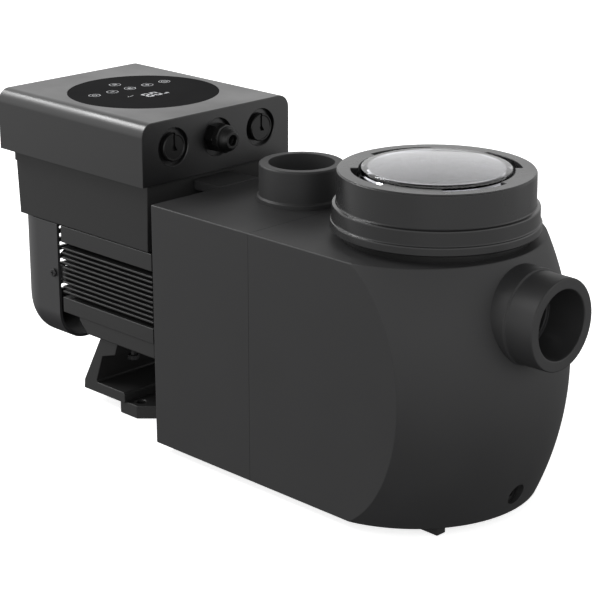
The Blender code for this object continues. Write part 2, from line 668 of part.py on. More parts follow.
def build_end_bells():
    front = [(89, -72.3), (89, -79), (62, -86), (62, -99.7), (23.8, -99.7), (23.8, -85.2), (11.5, -85.2),
             (11.5, -80.5), (32, -80.5), (78, -76.5), (80, -72.3)]
    keep(turned("front_end_bell", front, SHAFT, closed=True, steps=24), CASTING)

    flange_x = FRAME_REAR_X - 0.3
    rear = [(50, flange_x), (50, -241.5), (26, -243.5), (26, -254), (9.6, -254), (9.6, -249.5), (20.3, -249.5),
            (20.3, flange_x)]
    bell = turned("rear_end_bell", rear, SHAFT, closed=True, steps=24)
    arm_x, lug_x = (-241.0, flange_x - 0.7), (-259.0, flange_x - 2.2)
    arms = boxes("bell_arms", [((arm_x[0], -76.2, 119), (arm_x[1], -40, 133)),
                               ((arm_x[0], 40, 119), (arm_x[1], 76.2, 133))])
    lugs = boxes("bell_lugs", [((lug_x[0], -76.2, 119.5), (lug_x[1], -70, 132.5)),
                               ((lug_x[0], 70, 119.5), (lug_x[1], 76.2, 132.5))])
    holes = rods("lug_holes", "Y", [(COVER_SCREW_X, SHAFT_Z)], 2.4, (-90.0, 90.0), steps=12)
    keep(cut(join(bell, arms, lugs), holes), CASTING)


def cover_form(name, inset, front_x):
    """The fan cover's form: one section along the shaft, rounded at the rear in plan and in side view."""
    half_w, low, high = COVER_HALF_W - inset, COVER_Z0 + inset, COVER_Z1 - inset
    rear_x, side_r = COVER_REAR_X + inset, COVER_SIDE_R - inset
    form = prism(name, [rounded_outline(half_w, low, high, 32.0 - inset, 0.0)], "X", (rear_x - 5.0, front_x))
    plan = [(x, y) for y, x in rounded_outline(half_w, rear_x, front_x + 5.0, COVER_PLAN_R - inset, 0.0, steps=6)]
    side = [(front_x + 5.0, low), (front_x + 5.0, high)]
    for start_z, start in ((high - side_r, 90.0), (low + side_r, 180.0)):
        turns = [math.radians(start + 90.0 * i / 4) for i in range(5)]
        side += [(rear_x + side_r * (1 + math.cos(turn)), start_z + side_r * math.sin(turn)) for turn in turns]
    for cutter in (prism("plan_form", [plan], "Z", (0.0, 240.0)), prism("side_form", [side], "Y", (-100.0, 100.0))):
        combine(form, cutter, "INTERSECT", "MANIFOLD")
    return form


def build_fan():
    hub = [(13, -262), (13, -286), (7.3, -286), (7.3, -262)]
    fan = turned("cooling_fan", hub, SHAFT, closed=True, steps=24)
    disc = [(47, -264), (47, -266), (12, -267.5), (12, -264)]
    join(fan, turned("fan_disc", disc, SHAFT, closed=True, steps=24))
    join(fan, radial_boxes("fan_blades", SHAFT, 7, (11.0, 46.0), 1.0, (-284.0, -265.0)))
    keep(fan, BLACK)

    shell = cover_form("fan_cover", 0.0, COVER_FRONT_X)
    inside = cover_form("cover_inside", COVER_WALL, COVER_FRONT_X + 5.0)
    slots = []
    reach = 45.0
    for i in range(-4, 5):
        z = SHAFT_Z - 6.0 + 9.0 * i
        half = math.sqrt(reach ** 2 - (9.0 * i) ** 2)
        slots.append(((-325.0, -half, z - 2.2), (-310.0, half, z + 2.2)))
    holes = rods("cover_screw_holes", "Y", [(COVER_SCREW_X, SHAFT_Z)], 2.4, (-90.0, 90.0), steps=12)
    keep(cut(shell, inside, boxes("air_slots", slots), holes, solver="MANIFOLD"), BLACK)

    head_r, shank_r = 4.2, 2.1
    heights = [82.0, 79.8, 70.5]
    profile = [(0, heights[0]), (head_r, heights[0]), (head_r, heights[1]), (shank_r, heights[1]),
               (shank_r, heights[2]), (0, heights[2])]
    at = ("Y", (COVER_SCREW_X, 0.0, SHAFT_Z))
    keep(turned("fan_cover_screw_right", profile, at, steps=10), BLACK_STEEL)
    mirrored = [(r, -h) for r, h in reversed(profile)]
    keep(turned("fan_cover_screw_left", mirrored, at, steps=10), BLACK_STEEL)


def build_foot():
    """A C-shaped bracket under the motor with a bolting plate in front."""
    profile = [(-186.5, 72.6), (-160.4, 72.6), (-165.3, 58.8), (-184.6, 52.8), (-194.9, 24.9), (-193.5, 23.2),
               (-152.4, 23.2), (-152.4, 12.3), (-215.0, 12.3), (-213.9, 21.8)]
    foot = prism("motor_foot", [profile[::-1]], "Y", (-FOOT_HALF_W, FOOT_HALF_W))
    plan = [(-162.0, -73.0), (-137.0, -73.0), (-119.0, -55.0), (-104.0, -55.0), (-104.0, 55.0), (-119.0, 55.0),
            (-137.0, 73.0), (-162.0, 73.0)]
    join(foot, prism("foot_plate", [plan], "Z", (0.0, PAD_TOP_Z)))
    anchor = rods("anchor_holes", "Z", [(-143.0, 62.0), (-143.0, -62.0)], 5.0, (-10.0, 30.0))
    holes = rods("foot_bolt_holes", "Z", [(-173.0, 45.0), (-173.0, -45.0)], 3.4, (50.0, 80.0), steps=12)
    keep(cut(foot, anchor, holes), BLACK)

    for side, y in (("left", 45.0), ("right", -45.0)):
        bolt = rods("foot_bolt_" + side, "Z", [(-173.0, y)], 3.0, (49.0, 86.0), steps=12)
        head = rods("foot_bolt_head_" + side, "Z", [(-173.0, y)], 5.8, (46.0, 50.5), steps=6)
        keep(join(bolt, head), BLACK_STEEL)

    bridge = box("bridge_cover", (-102.4, -24.0, 229.0), (BODY_REAR_X - 0.3, 24.0, BODY_Z1))
    keep(bridge, BLACK)


# ---------------------------------------------------------------- controller

def build_controller_housing():
    ends = [(-299.0, LOWER_BOX_Z0), (-105.0, LOWER_BOX_Z0), (-103.0, 247.0), (-303.0, 247.0)]
    housing = prism("controller_housing", [ends], "Y", (-LOWER_BOX_HALF_W, LOWER_BOX_HALF_W))
    low_x, high_x = LID_BOX_X
    flange_z = (LID_BOX_Z[0], 248.5)
    inset = LID_BOX_WALL + 0.5
    half_w = LID_BOX_HALF_W - inset
    flange = box("housing_flange", (low_x + inset, -half_w, flange_z[0]), (high_x - inset, half_w, flange_z[1]))
    hollow = box("housing_hollow", (-295.0, -77.0, 182.5), (-109.0, 77.0, 260.0))
    posts = rods("board_posts", "Z", [(x, y) for x in (-280.0, -125.0) for y in (-62.0, 62.0)], 4.0,
                 (181.0, 204.7), steps=12)
    keep(join(cut(join(housing, flange), hollow), posts), BLACK)

    seal_z = (flange_z[1] + 0.3, flange_z[1] + 2.5)
    outer = [(low_x + inset, -half_w), (high_x - inset, -half_w), (high_x - inset, half_w), (low_x + inset, half_w)]
    inner = [(low_x + 9.0, -84.0), (high_x - 12.0, -84.0), (high_x - 12.0, 84.0), (low_x + 9.0, 84.0)]
    keep(prism("controller_gasket", [outer, inner], "Z", seal_z), RUBBER)


def build_controller_cover():
    low_x, high_x = LID_BOX_X
    z0, z1 = LID_BOX_Z
    t = LID_BOX_WALL
    outline = rounded_outline(LID_BOX_HALF_W, z0, z1, 0.0, LID_BOX_EDGE_R)
    cover = prism("controller_cover", [outline], "X", LID_BOX_X)
    outline = rounded_outline(LID_BOX_HALF_W - t, z0 - 10.0, z1 - t, 0.0, LID_BOX_EDGE_R - t)
    cut(cover, prism("cover_hollow", [outline], "X", (low_x + t, high_x - t)))
    places = [(-ENTRY_Y, ENTRY_Z), (0.0, ENTRY_Z), (ENTRY_Y, ENTRY_Z)]
    bosses = rods("entry_bosses", "X", places, 21.0, (ENTRY_FLOOR_X - 5.0, high_x - t + 2.0), steps=16)
    wells = rods("entry_wells", "X", places, 18.0, (ENTRY_FLOOR_X, -80.0), steps=16)
    threads = rods("entry_threads", "X", places, 10.4, (-120.0, -80.0), steps=16)
    panel_well = turned("panel_well", [(0, 320), (PANEL_R + 0.3, 320), (PANEL_R + 0.3, 302.3), (0, 302.3)],
                        ("Z", (PANEL_X, 0.0, 0.0)))
    keep(cut(join(cover, bosses), wells, threads, panel_well), GREY_METAL)

    panel = turned("touch_panel", [(0, 303.9), (PANEL_R - 0.4, 303.9), (PANEL_R, 303.5), (PANEL_R, 302.6),
                                   (0, 302.6)], ("Z", (PANEL_X, 0.0, 0.0)))
    keep(panel, GLOSS_BLACK)


def build_electronics():
    keep(box("touch_board", (-250.0, -48.0, 294.0), (-152.0, 48.0, 295.6)), BOARD)
    keep(box("power_board", (-290.0, -70.0, 205.0), (-114.0, 70.0, 206.6)), BOARD)
    bank = box("capacitor_bank", (-265.0, -50.0, 207.0), (-155.0, -40.0, 209.0))
    can_places = [(-255.0 + 30.0 * i, -45.0) for i in range(4)]
    keep(join(bank, rods("capacitor_cans", "Z", can_places, 12.0, (208.0, 243.0), steps=12)), STEEL)
    fins = [((-260.0, 5.0, 207.0), (-150.0, 60.0, 212.0))]
    fins += [((-260.0, 5.0 + 7.4 * i, 211.0), (-150.0, 7.6 + 7.4 * i, 236.0)) for i in range(1, 7)]
    sink = box("heat_sink", *fins[0])
    keep(join(sink, boxes("sink_fins", fins[1:])), ALUMINIUM)


def build_entries():
    at = (0.0, 0.0, ENTRY_Z)
    body = turned("gland_body", [(9, -79.2), (9, -92), (10, -95), (10, -108), (5.2, -108), (5.2, -87.2),
                                 (7.6, -87.2), (7.6, -79.2)], ("X", at), closed=True, steps=16)
    join(body, prism("gland_hex", [hexagon(24.0), circle(8.5, 12)], "X", (ENTRY_FLOOR_X + 0.3, -88.5), at))
    keep(body, BLACK)

    dome = [(7.4, -73.6), (8.8, -74.6), (10.6, -77.0), (11.5, -79.6), (12.0, -82.4), (13.8, -83.2), (13.8, -88.2),
            (9.5, -88.2), (9.5, -78.7), (5.0, -78.2), (5.0, -74.2), (5.6, -73.6)]
    nut = turned("gland_nut", dome, ("X", at), closed=True, steps=16)
    combine(nut, prism("nut_hex", [hexagon(24.4)], "X", (-95.0, -60.0), at), "INTERSECT")
    keep(nut, BLACK)
    insert = [(7.3, -79.1), (7.3, -86.9), (5.2, -86.9), (5.2, -79.1)]
    keep(turned("gland_seal", insert, ("X", at), closed=True, steps=16), RUBBER)

    for side, y in (("left", ENTRY_Y), ("right", -ENTRY_Y)):
        face = [(0, -92.6), (12.7, -92.6), (13.5, -93.3), (13.5, -96.9), (10, -96.9), (10, -108), (0, -108)]
        plug = turned("blanking_plug_" + side, face, ("X", (0.0, y, ENTRY_Z)), steps=16)
        slot = box("coin_slot_" + side, (-94.0, y - 0.9, ENTRY_Z), (-90.0, y + 0.9, ENTRY_Z + 10.0))
        keep(cut(plug, slot), BLACK)
        keep(ring_torus("plug_o_ring_" + side, 11.9, 0.8, "X", (-98.0, y, ENTRY_Z), 12), RUBBER)


# ---------------------------------------------------------------- build

clear_scene()
PARTS = collection("pool_pump")
CUTTERS = collection("cutters")

BLACK = material("black_plastic", (0.030, 0.030, 0.032), 0.45)
GREY = material("grey_plastic", (0.10, 0.10, 0.105), 0.5)
GREY_METAL = material("grey_cover", (0.055, 0.055, 0.058), 0.38)
GLOSS_BLACK = material("panel_glass", (0.006, 0.006, 0.007), 0.12)
RUBBER = material("rubber", (0.015, 0.015, 0.015), 0.8)
CLEAR = material("clear_lid", (0.75, 0.76, 0.80), 0.05, alpha=0.35)
STEEL = material("stainless_steel", (0.60, 0.60, 0.61), 0.3, 1.0)
BLACK_STEEL = material("blackened_steel", (0.020, 0.020, 0.021), 0.45)
CASTING = material("painted_casting", (0.022, 0.022, 0.024), 0.5)
LAMINATION = material("core_steel", (0.28, 0.28, 0.30), 0.45, 1.0)
COPPER = material("copper_windings", (0.72, 0.36, 0.18), 0.4, 1.0)
CERAMIC = material("seal_ceramic", (0.85, 0.84, 0.80), 0.3)
BOARD = material("circuit_board", (0.03, 0.16, 0.07), 0.5)
ALUMINIUM = material("aluminium", (0.72, 0.73, 0.75), 0.4, 1.0)

build_front_casing()
build_rear_casing()
build_casing_joint()
build_front_foot()
build_lid()
build_basket()
build_drain_plug()
build_diffuser()
build_impeller()
build_shaft_seal()
build_motor_shaft()
bearing_set("front_bearing", -92.5, 14.0, 10.0, 23.5, 4.0, 7)
bearing_set("rear_bearing", -240.2, 12.0, 8.5, 20.0, 3.4, 7)
build_wave_spring()
build_motor_frame()
build_windings_and_cores()
build_end_bells()
build_fan()
build_foot()
build_controller_housing()
build_controller_cover()
build_electronics()
build_entries()
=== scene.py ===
"""Looks for the pool pump: smooth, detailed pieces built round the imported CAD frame.

+X points to the suction end and +Z up. Sizes in this file are millimetres, and every
helper turns them into metres.
"""
import json
import math

import bmesh
import bpy
from mathutils import Matrix, Vector

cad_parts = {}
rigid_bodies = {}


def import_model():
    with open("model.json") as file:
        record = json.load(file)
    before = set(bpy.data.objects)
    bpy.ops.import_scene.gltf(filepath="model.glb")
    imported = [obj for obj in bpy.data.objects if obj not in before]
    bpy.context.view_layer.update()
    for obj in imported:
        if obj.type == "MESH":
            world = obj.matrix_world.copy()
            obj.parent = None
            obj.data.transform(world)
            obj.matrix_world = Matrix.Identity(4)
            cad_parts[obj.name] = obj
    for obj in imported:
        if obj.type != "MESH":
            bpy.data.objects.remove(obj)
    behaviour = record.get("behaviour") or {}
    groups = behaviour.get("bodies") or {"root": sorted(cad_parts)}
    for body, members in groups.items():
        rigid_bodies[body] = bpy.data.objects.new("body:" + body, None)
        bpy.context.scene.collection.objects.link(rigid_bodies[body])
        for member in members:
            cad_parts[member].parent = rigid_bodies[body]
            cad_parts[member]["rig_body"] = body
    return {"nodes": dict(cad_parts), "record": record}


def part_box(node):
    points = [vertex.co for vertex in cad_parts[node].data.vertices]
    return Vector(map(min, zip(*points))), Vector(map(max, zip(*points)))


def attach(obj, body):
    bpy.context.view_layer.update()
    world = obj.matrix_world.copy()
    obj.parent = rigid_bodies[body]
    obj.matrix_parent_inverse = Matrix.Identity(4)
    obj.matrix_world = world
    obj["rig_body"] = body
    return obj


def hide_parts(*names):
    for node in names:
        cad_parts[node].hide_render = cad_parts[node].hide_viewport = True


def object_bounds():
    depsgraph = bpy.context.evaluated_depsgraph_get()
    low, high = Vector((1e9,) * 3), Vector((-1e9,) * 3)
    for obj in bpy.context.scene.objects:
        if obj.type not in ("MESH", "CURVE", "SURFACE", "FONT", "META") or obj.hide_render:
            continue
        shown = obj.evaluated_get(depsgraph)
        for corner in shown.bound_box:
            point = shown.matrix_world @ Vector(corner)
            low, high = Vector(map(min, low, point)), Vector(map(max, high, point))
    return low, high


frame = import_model()
cad_low, cad_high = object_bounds()
SLOT_OF = {part["node"]: part["material_slot"] for part in frame["record"]["subparts"]}

MM = 0.001


def corners(node):
    """A CAD node's lowest and highest corner, in millimetres."""
    low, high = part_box(node)
    return low / MM, high / MM


# ---------------------------------------------------------------- sizes from the frame

REAR_LOW, REAR_HIGH = corners("rear_casing")
FRONT_LOW, FRONT_HIGH = corners("front_casing")
BRIDGE_LOW, BRIDGE_HIGH = corners("bridge_cover")
RING_LOW, RING_HIGH = corners("lock_ring")
COVER_LOW, COVER_HIGH = corners("controller_cover")
HOUSING_LOW, HOUSING_HIGH = corners("controller_housing")
FRAME_LOW, FRAME_HIGH = corners("motor_frame")
GUARD_LOW, GUARD_HIGH = corners("fan_cover")
PANEL_LOW, PANEL_HIGH = corners("touch_panel")
STAND_LOW, STAND_HIGH = corners("motor_foot")
FLOOR_Z = cad_low.z / MM

BODY_HALF_W = REAR_HIGH.y
BODY_Z0, BODY_Z1 = REAR_LOW.z, BRIDGE_HIGH.z
WALL = 7.0
EDGE_R = 1.3

# Tank: flat sides that run into a barrel-shaped nose turned about an upright axis
NOSE_X = 154.3
NOSE_MID_R = 139.0
NOSE_END_R = 114.8
CREASE_R = 2.2

# Ports
SOCKET_R = 30.15
PIPE_STOP_R = 26.5
INLET_Z = 191.0
DISCHARGE_X = 17.3

# Lid
LID_X = (RING_LOW.x + RING_HIGH.x) / 2
NECK_R = 82.0
NECK_BORE_R = 70.0
SEAT_Z = 262.0
LIP_R = 66.3
LIP_LOW_Z = 289.5
NOTCH_ANGLES = (-112.0, -21.0, 70.0, 159.0)
NOTCH_R = 73.2
NOTCH_HALF_SPAN = 24.0

SHAFT_Z = 126.0
DRAIN_Z = 28.0
DRAIN_SEAT_X = 262.0
TIE_BOLTS = [(y, z) for y in (-99.0, 99.0) for z in (20.0, 227.0)]

# Motor fins
FIN_ZONE = (104.0, 160.7)
FIN_TIP_Y = 80.6
FIN_ROOT_Y = 57.0
FIN_COUNT = 10
BAND_LOW_Z = 88.5
GUARD_SCREW_X = -250.0
GUARD_SCREW_HOLE_R = 2.4
GUARD_WALL = 3.0
GUARD_REAR_R = 43.0
GUARD_LOW_R = 32.0
STAND_BOLT_X = -173.0
STAND_BOLT_Y = 45.0
STAND_BOLT_HOLE_R = 3.4

# Controller
ENTRY_Y = 55.6
ENTRY_Z = 277.0
ENTRY_FLOOR_X = -99.0
PANEL_X = (PANEL_LOW.x + PANEL_HIGH.x) / 2
PANEL_R = (PANEL_HIGH.x - PANEL_LOW.x) / 2

AXES = {
    "X": Matrix(((0, 0, 1), (1, 0, 0), (0, 1, 0))).to_4x4(),
    "Y": Matrix(((1, 0, 0), (0, 0, -1), (0, 1, 0))).to_4x4(),
    "Z": Matrix.Identity(4),
}
SHAFT = ("X", (0.0, 0.0, SHAFT_Z))
GUARD_SCREWS = ("Y", (GUARD_SCREW_X, 0.0, SHAFT_Z))
LID = ("Z", (LID_X, 0.0, 0.0))
INLET = ("X", (0.0, 0.0, INLET_Z))
DISCHARGE = ("Z", (DISCHARGE_X, 0.0, 0.0))
DRAIN = ("X", (0.0, 0.0, DRAIN_Z))
PANEL_AXIS = ("Z", (PANEL_X, 0.0, 0.0))


# ---------------------------------------------------------------- shape helpers

def add_object(name, mesh, axis="Z", at=(0.0, 0.0, 0.0)):
    """Add a mesh with its local +Z along the named axis and its origin at `at`, in the row frame."""
    mesh.transform(Matrix.Translation(Vector(at) * MM) @ AXES[axis])
    obj = bpy.data.objects.new(name, mesh)
    bpy.context.scene.collection.objects.link(obj)
    return obj


def mesh_from(name, bm):
    bmesh.ops.recalc_face_normals(bm, faces=bm.faces)
    mesh = bpy.data.meshes.new(name)
    bm.to_mesh(mesh)
    bm.free()
    return mesh


def soften(points, radius, closed=True, steps=5):
    """Round the corners of an outline; radius is one number, or one for each point."""
    count = len(points)
    radii = [radius] * count if isinstance(radius, (int, float)) else radius
    rounded = []
    for i, (point, r) in enumerate(zip(points, radii)):
        here = Vector(point)
        before = Vector(points[i - 1]) - here
        after = Vector(points[(i + 1) % count]) - here
        at_end = not closed and i in (0, count - 1)
        if r <= 0.0 or at_end or before.angle(after) > math.pi - 0.02:
            rounded.append(tuple(here))
            continue
        half = before.angle(after) / 2
        reach = min(r / math.tan(half), 0.48 * before.length, 0.48 * after.length)
        bend_r = reach * math.tan(half)
        middle = (before.normalized() + after.normalized()).normalized()
        centre = here + middle * (bend_r / math.sin(half))
        start = here + before.normalized() * reach - centre
        end = here + after.normalized() * reach - centre
        sweep = math.pi - 2 * half
        for k in range(steps + 1):
            t = k / steps
            arm = (start * math.sin((1 - t) * sweep) + end * math.sin(t * sweep)) / math.sin(sweep)
            rounded.append(tuple(centre + arm))
    return rounded


def turned(name, profile, axis_at, radius=0.0, steps=128):
    """Turn a profile of (radius, height) points about an axis, with its corners rounded."""
    on_axis = profile[0][0] == 0.0 and profile[-1][0] == 0.0
    profile = soften(profile, radius, closed=not on_axis)
    bm = bmesh.new()
    rings = []
    for r, h in profile:
        count = steps if r > 1e-6 else 1
        turns = (i * math.tau / count for i in range(count))
        rings.append([bm.verts.new((r * MM * math.cos(a), r * MM * math.sin(a), h * MM)) for a in turns])
    pairs = list(zip(rings, rings[1:]))
    if not on_axis:
        pairs.append((rings[-1], rings[0]))
    for upper, lower in pairs:
        for i in range(steps):
            j = i + 1
            face = [upper[i % len(upper)], lower[i % len(lower)], lower[j % len(lower)], upper[j % len(upper)]]
            bm.faces.new(dict.fromkeys(face))
    return add_object(name, mesh_from(name, bm), *axis_at)


def rod(name, radius, high, low, axis_at, rounding=0.0, steps=128):
    """A solid round bar between two heights on its axis."""
    return turned(name, [(0, high), (radius, high), (radius, low), (0, low)], axis_at, rounding, steps)


def along_x(y, z):
    return "X", (0.0, y, z)


def polar(radius, angle, centre=(0.0, 0.0)):
    return centre[0] + radius * math.cos(angle), centre[1] + radius * math.sin(angle)


def ridges(root_r, crest_r, first, last, pitch, half_root, half_crest):
    """A thread's profile down its shank, one ridge for each turn."""
    profile = []
    while first > last:
        profile += [(root_r, first + half_root), (crest_r, first + half_crest), (crest_r, first - half_crest),
                    (root_r, first - half_root)]
        first -= pitch
    return profile


def circle(radius, steps=64, start=0.0):
    return [polar(radius, start + i * math.tau / steps) for i in range(steps)]


def rectangle(u0, v0, u1, v1):
    return [(u0, v0), (u1, v0), (u1, v1), (u0, v1)]


def hexagon(across_flats, corner_r=0.6):
    return soften(circle(across_flats / math.sqrt(3.0), 6), corner_r, steps=3)


def evaluated(obj):
    """The object's mesh with its modifiers, or a curve's surface."""
    depsgraph = bpy.context.evaluated_depsgraph_get()
    depsgraph.update()
    return bpy.data.meshes.new_from_object(obj.evaluated_get(depsgraph))


def prism(name, outlines, axis, span, at=(0.0, 0.0, 0.0), edge_r=0.0, edge_steps=3):
    """Extrude closed outlines along an axis, ends rounded: the first is the outside, the rest are holes."""
    curve = bpy.data.curves.new(name, "CURVE")
    curve.dimensions = "2D"
    curve.fill_mode = "BOTH"
    curve.extrude = ((span[1] - span[0]) / 2 - edge_r) * MM
    curve.bevel_depth = edge_r * MM
    curve.bevel_resolution = edge_steps
    curve.offset = -edge_r * MM
    for outline in outlines:
        spline = curve.splines.new("POLY")
        spline.points.add(len(outline) - 1)
        for point, (u, v) in zip(spline.points, outline):
            point.co = (u * MM, v * MM, 0.0, 1.0)
        spline.use_cyclic_u = True
    guide = bpy.data.objects.new(name + "_guide", curve)
    bpy.context.scene.collection.objects.link(guide)
    bm = bmesh.new()
    bm.from_mesh(evaluated(guide))
    bpy.data.objects.remove(guide, do_unlink=True)
    bmesh.ops.remove_doubles(bm, verts=bm.verts, dist=1e-6)
    mesh = mesh_from(name, bm)
    middle = sum(span) / 2 * (-1 if axis == "Y" else 1)
    mesh.transform(Matrix.Translation((0.0, 0.0, middle * MM)))
    return add_object(name, mesh, axis, at)


def soft_box(name, low, high, radius=0.6, sharp_x=None, segments=4):
    """A box with rounded edges, except those round the face at x = sharp_x."""
    bm = bmesh.new()
    low, high = Vector(low), Vector(high)
    size = (high - low) * MM
    matrix = Matrix.Translation((low + high) / 2 * MM) @ Matrix.Diagonal((*size, 1.0))
    bmesh.ops.create_cube(bm, size=1.0, matrix=matrix)
    edges = [e for e in bm.edges
             if sharp_x is None or any(abs(v.co.x - sharp_x * MM) > 1e-6 for v in e.verts)]
    bmesh.ops.bevel(bm, geom=edges, offset=radius * MM, segments=segments, profile=0.5, affect="EDGES")
    return add_object(name, mesh_from(name, bm))


def add_ring(bm, points):
    return [bm.verts.new(Vector(point) * MM) for point in points]


def span_rings(bm, lower, upper, is_open=None):
    """Join two rings of vertices by faces, apart from the open ones."""
    for i in range(len(lower)):
        if is_open is None or not is_open(i):
            j = (i + 1) % len(lower)
            bm.faces.new((lower[i], lower[j], upper[j], upper[i]))


def lofted(name, rings):
    """A closed skin over rings of points, with flat ends."""
    bm = bmesh.new()
    rings = [add_ring(bm, ring) for ring in rings]
    for lower, upper in zip(rings, rings[1:]):
        span_rings(bm, lower, upper)
    bm.faces.new(rings[0][::-1])
    bm.faces.new(rings[-1])
    return add_object(name, mesh_from(name, bm))


def tube(name, points, radius, sides=12):
    """A round bar along a smooth line of points, with flat ends."""
    places = [Vector(p) for p in points]
    rings = []
    for i, place in enumerate(places):
        along = (places[min(i + 1, len(places) - 1)] - places[max(i - 1, 0)]).normalized()
        side = along.orthogonal().normalized() if i == 0 else (side - along * side.dot(along)).normalized()
        other = along.cross(side)
        rings.append([place + radius * (side * math.cos(a) + other * math.sin(a))
                      for a in (k * math.tau / sides for k in range(sides))])
    return lofted(name, rings)


def combine(obj, others, operation):
    for other in others:
        step = obj.modifiers.new("shape", "BOOLEAN")
        step.operation = operation
        step.solver = "MANIFOLD"
        step.object = other
    mesh = evaluated(obj)
    obj.modifiers.clear()
    obj.data = mesh
    for other in others:
        bpy.data.objects.remove(other, do_unlink=True)
    return obj


def cut(obj, *others):
    return combine(obj, others, "DIFFERENCE")


def join(obj, *others):
    return combine(obj, others, "UNION")


def overlap(obj, *others):
    return combine(obj, others, "INTERSECT")


def finish_piece(obj, node=None, mat=None, slot=None, body="pump"):
    """Shade a piece and let it ride; the CAD node it stands for gives its slot and body, if there is one."""
    if node:
        slot, body = SLOT_OF[node], frame["nodes"][node]["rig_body"]
        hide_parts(node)
    obj.data.materials.clear()
    obj.data.materials.append(mat or CAD_FINISH[slot])
    obj.data.shade_smooth()
    obj.data.set_sharp_from_angle(angle=math.radians(32))
    even = obj.modifiers.new("even_shading", "WEIGHTED_NORMAL")
    even.keep_sharp = True
    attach(obj, body)


def build_o_ring(name, node, major, minor, axis, at, steps, sides=16):
    section = [polar(minor, -i * math.tau / sides, (major, 0.0)) for i in range(sides)]
    finish_piece(turned(name, section, (axis, at), steps=steps), node)


# ---------------------------------------------------------------- materials

def new_material(name):
    mat = bpy.data.materials.new(name)
    mat.use_nodes = True
    return mat, mat.node_tree


def add_node(tree, kind, **values):
    """A shader node with inputs set by name; an underscore stands for a space."""
    node = tree.nodes.new("ShaderNode" + kind)
    for name, value in values.items():
        node.inputs[name.replace("_", " ")].default_value = value
    return node


def place_in_row(tree):
    return add_node(tree, "TexCoord").outputs["Object"]


def noise(tree, scale, detail=3.0, stretch=None):
    """Noise in the row frame; scale is in waves per metre, and stretch scales each axis."""
    place = place_in_row(tree)
    if stretch:
        mapping = add_node(tree, "Mapping", Scale=stretch)
        tree.links.new(place, mapping.inputs["Vector"])
        place = mapping.outputs["Vector"]
    node = add_node(tree, "TexNoise", Scale=scale, Detail=detail, Roughness=0.55)
    tree.links.new(place, node.inputs["Vector"])
    return node.outputs["Fac"]


def spread(tree, value, low, high):
    """Map a noise value onto a range."""
    node = add_node(tree, "MapRange", From_Min=0.3, From_Max=0.7, To_Min=low, To_Max=high)
    tree.links.new(value, node.inputs["Value"])
    return node.outputs["Result"]


def tinted(tree, colour, factor, depth):
    """The colour, made darker and lighter by `depth` of itself as the factor goes from 0 to 1."""
    mix = tree.nodes.new("ShaderNodeMix")
    mix.data_type = "RGBA"
    mix.inputs["A"].default_value = (*(c * (1 - depth) for c in colour), 1.0)
    mix.inputs["B"].default_value = (*(c * (1 + depth) for c in colour), 1.0)
    tree.links.new(factor, mix.inputs["Factor"])
    return mix.outputs["Result"]


def bumped(tree, height, strength, depth, over=None):
    node = add_node(tree, "Bump", Strength=strength, Distance=depth * MM)
    tree.links.new(height, node.inputs["Height"])
    if over:
        tree.links.new(over, node.inputs["Normal"])
    return node.outputs["Normal"]


def surface(mat, colour, roughness, normal, **values):
    """Link the material's colour, roughness and relief, and set its other inputs by name."""
    shader = mat.node_tree.nodes["Principled BSDF"]
    for name, source in (("Base Color", colour), ("Roughness", roughness), ("Normal", normal)):
        mat.node_tree.links.new(source, shader.inputs[name])
    for name, value in values.items():
        shader.inputs[name.replace("_", " ")].default_value = value
    return mat


def moulded(name, colour, roughness, grain=1400.0, bump=0.25, specular=0.5, mottle=0.10):
    """Satin moulding: a fine spark-eroded grain, slow waves in the skin and a patchy sheen."""
    mat, tree = new_material(name)
    clouds = noise(tree, 14.0, detail=4.0)
    fine = noise(tree, grain, detail=2.0)
    skin = bumped(tree, noise(tree, 30.0, detail=1.0), 0.06, 1.0)
    return surface(mat, tinted(tree, colour, clouds, mottle),
                   spread(tree, clouds, roughness - 0.04, roughness + 0.04),
                   bumped(tree, fine, bump, 0.03, over=skin), Specular_IOR_Level=specular)


def metal(name, colour, roughness, stretch=(1.0, 1.0, 1.0)):
    """Bare metal with fine tooling marks along the stretched axis."""
    mat, tree = new_material(name)
    marks = noise(tree, 500.0, stretch=stretch)
    return surface(mat, tinted(tree, colour, noise(tree, 40.0), 0.12),
                   spread(tree, marks, roughness - 0.07, roughness + 0.09),
                   bumped(tree, marks, 0.12, 0.02), Metallic=1.0)


def clear_plastic(name):
    """The lid's window: clear, slightly grey, with a few soft flow waves."""
    mat, tree = new_material(name)
    waves = noise(tree, 12.0, detail=1.0)
    return surface(mat, tinted(tree, (0.80, 0.80, 0.84), waves, 0.02),
                   spread(tree, noise(tree, 60.0), 0.02, 0.05), bumped(tree, waves, 0.03, 1.0),
                   Transmission_Weight=1.0, IOR=1.55)


def glossy_panel(name):
    """Black touch panel: a haze of dark grey, without mirrored light."""
    mat, tree = new_material(name)
    haze = noise(tree, 25.0, detail=4.0)
    return surface(mat, tinted(tree, (0.023, 0.023, 0.0235), haze, 0.15), spread(tree, haze, 0.22, 0.28),
                   bumped(tree, noise(tree, 900.0), 0.05, 0.01), Specular_IOR_Level=0.0)


def printed(name, colour):
    """Screen-printed marks: matt ink, slightly uneven."""
    mat, tree = new_material(name)
    speckle = noise(tree, 2500.0, detail=2.0)
    return surface(mat, tinted(tree, colour, speckle, 0.06), spread(tree, speckle, 0.5, 0.65),
                   bumped(tree, speckle, 0.1, 0.01))


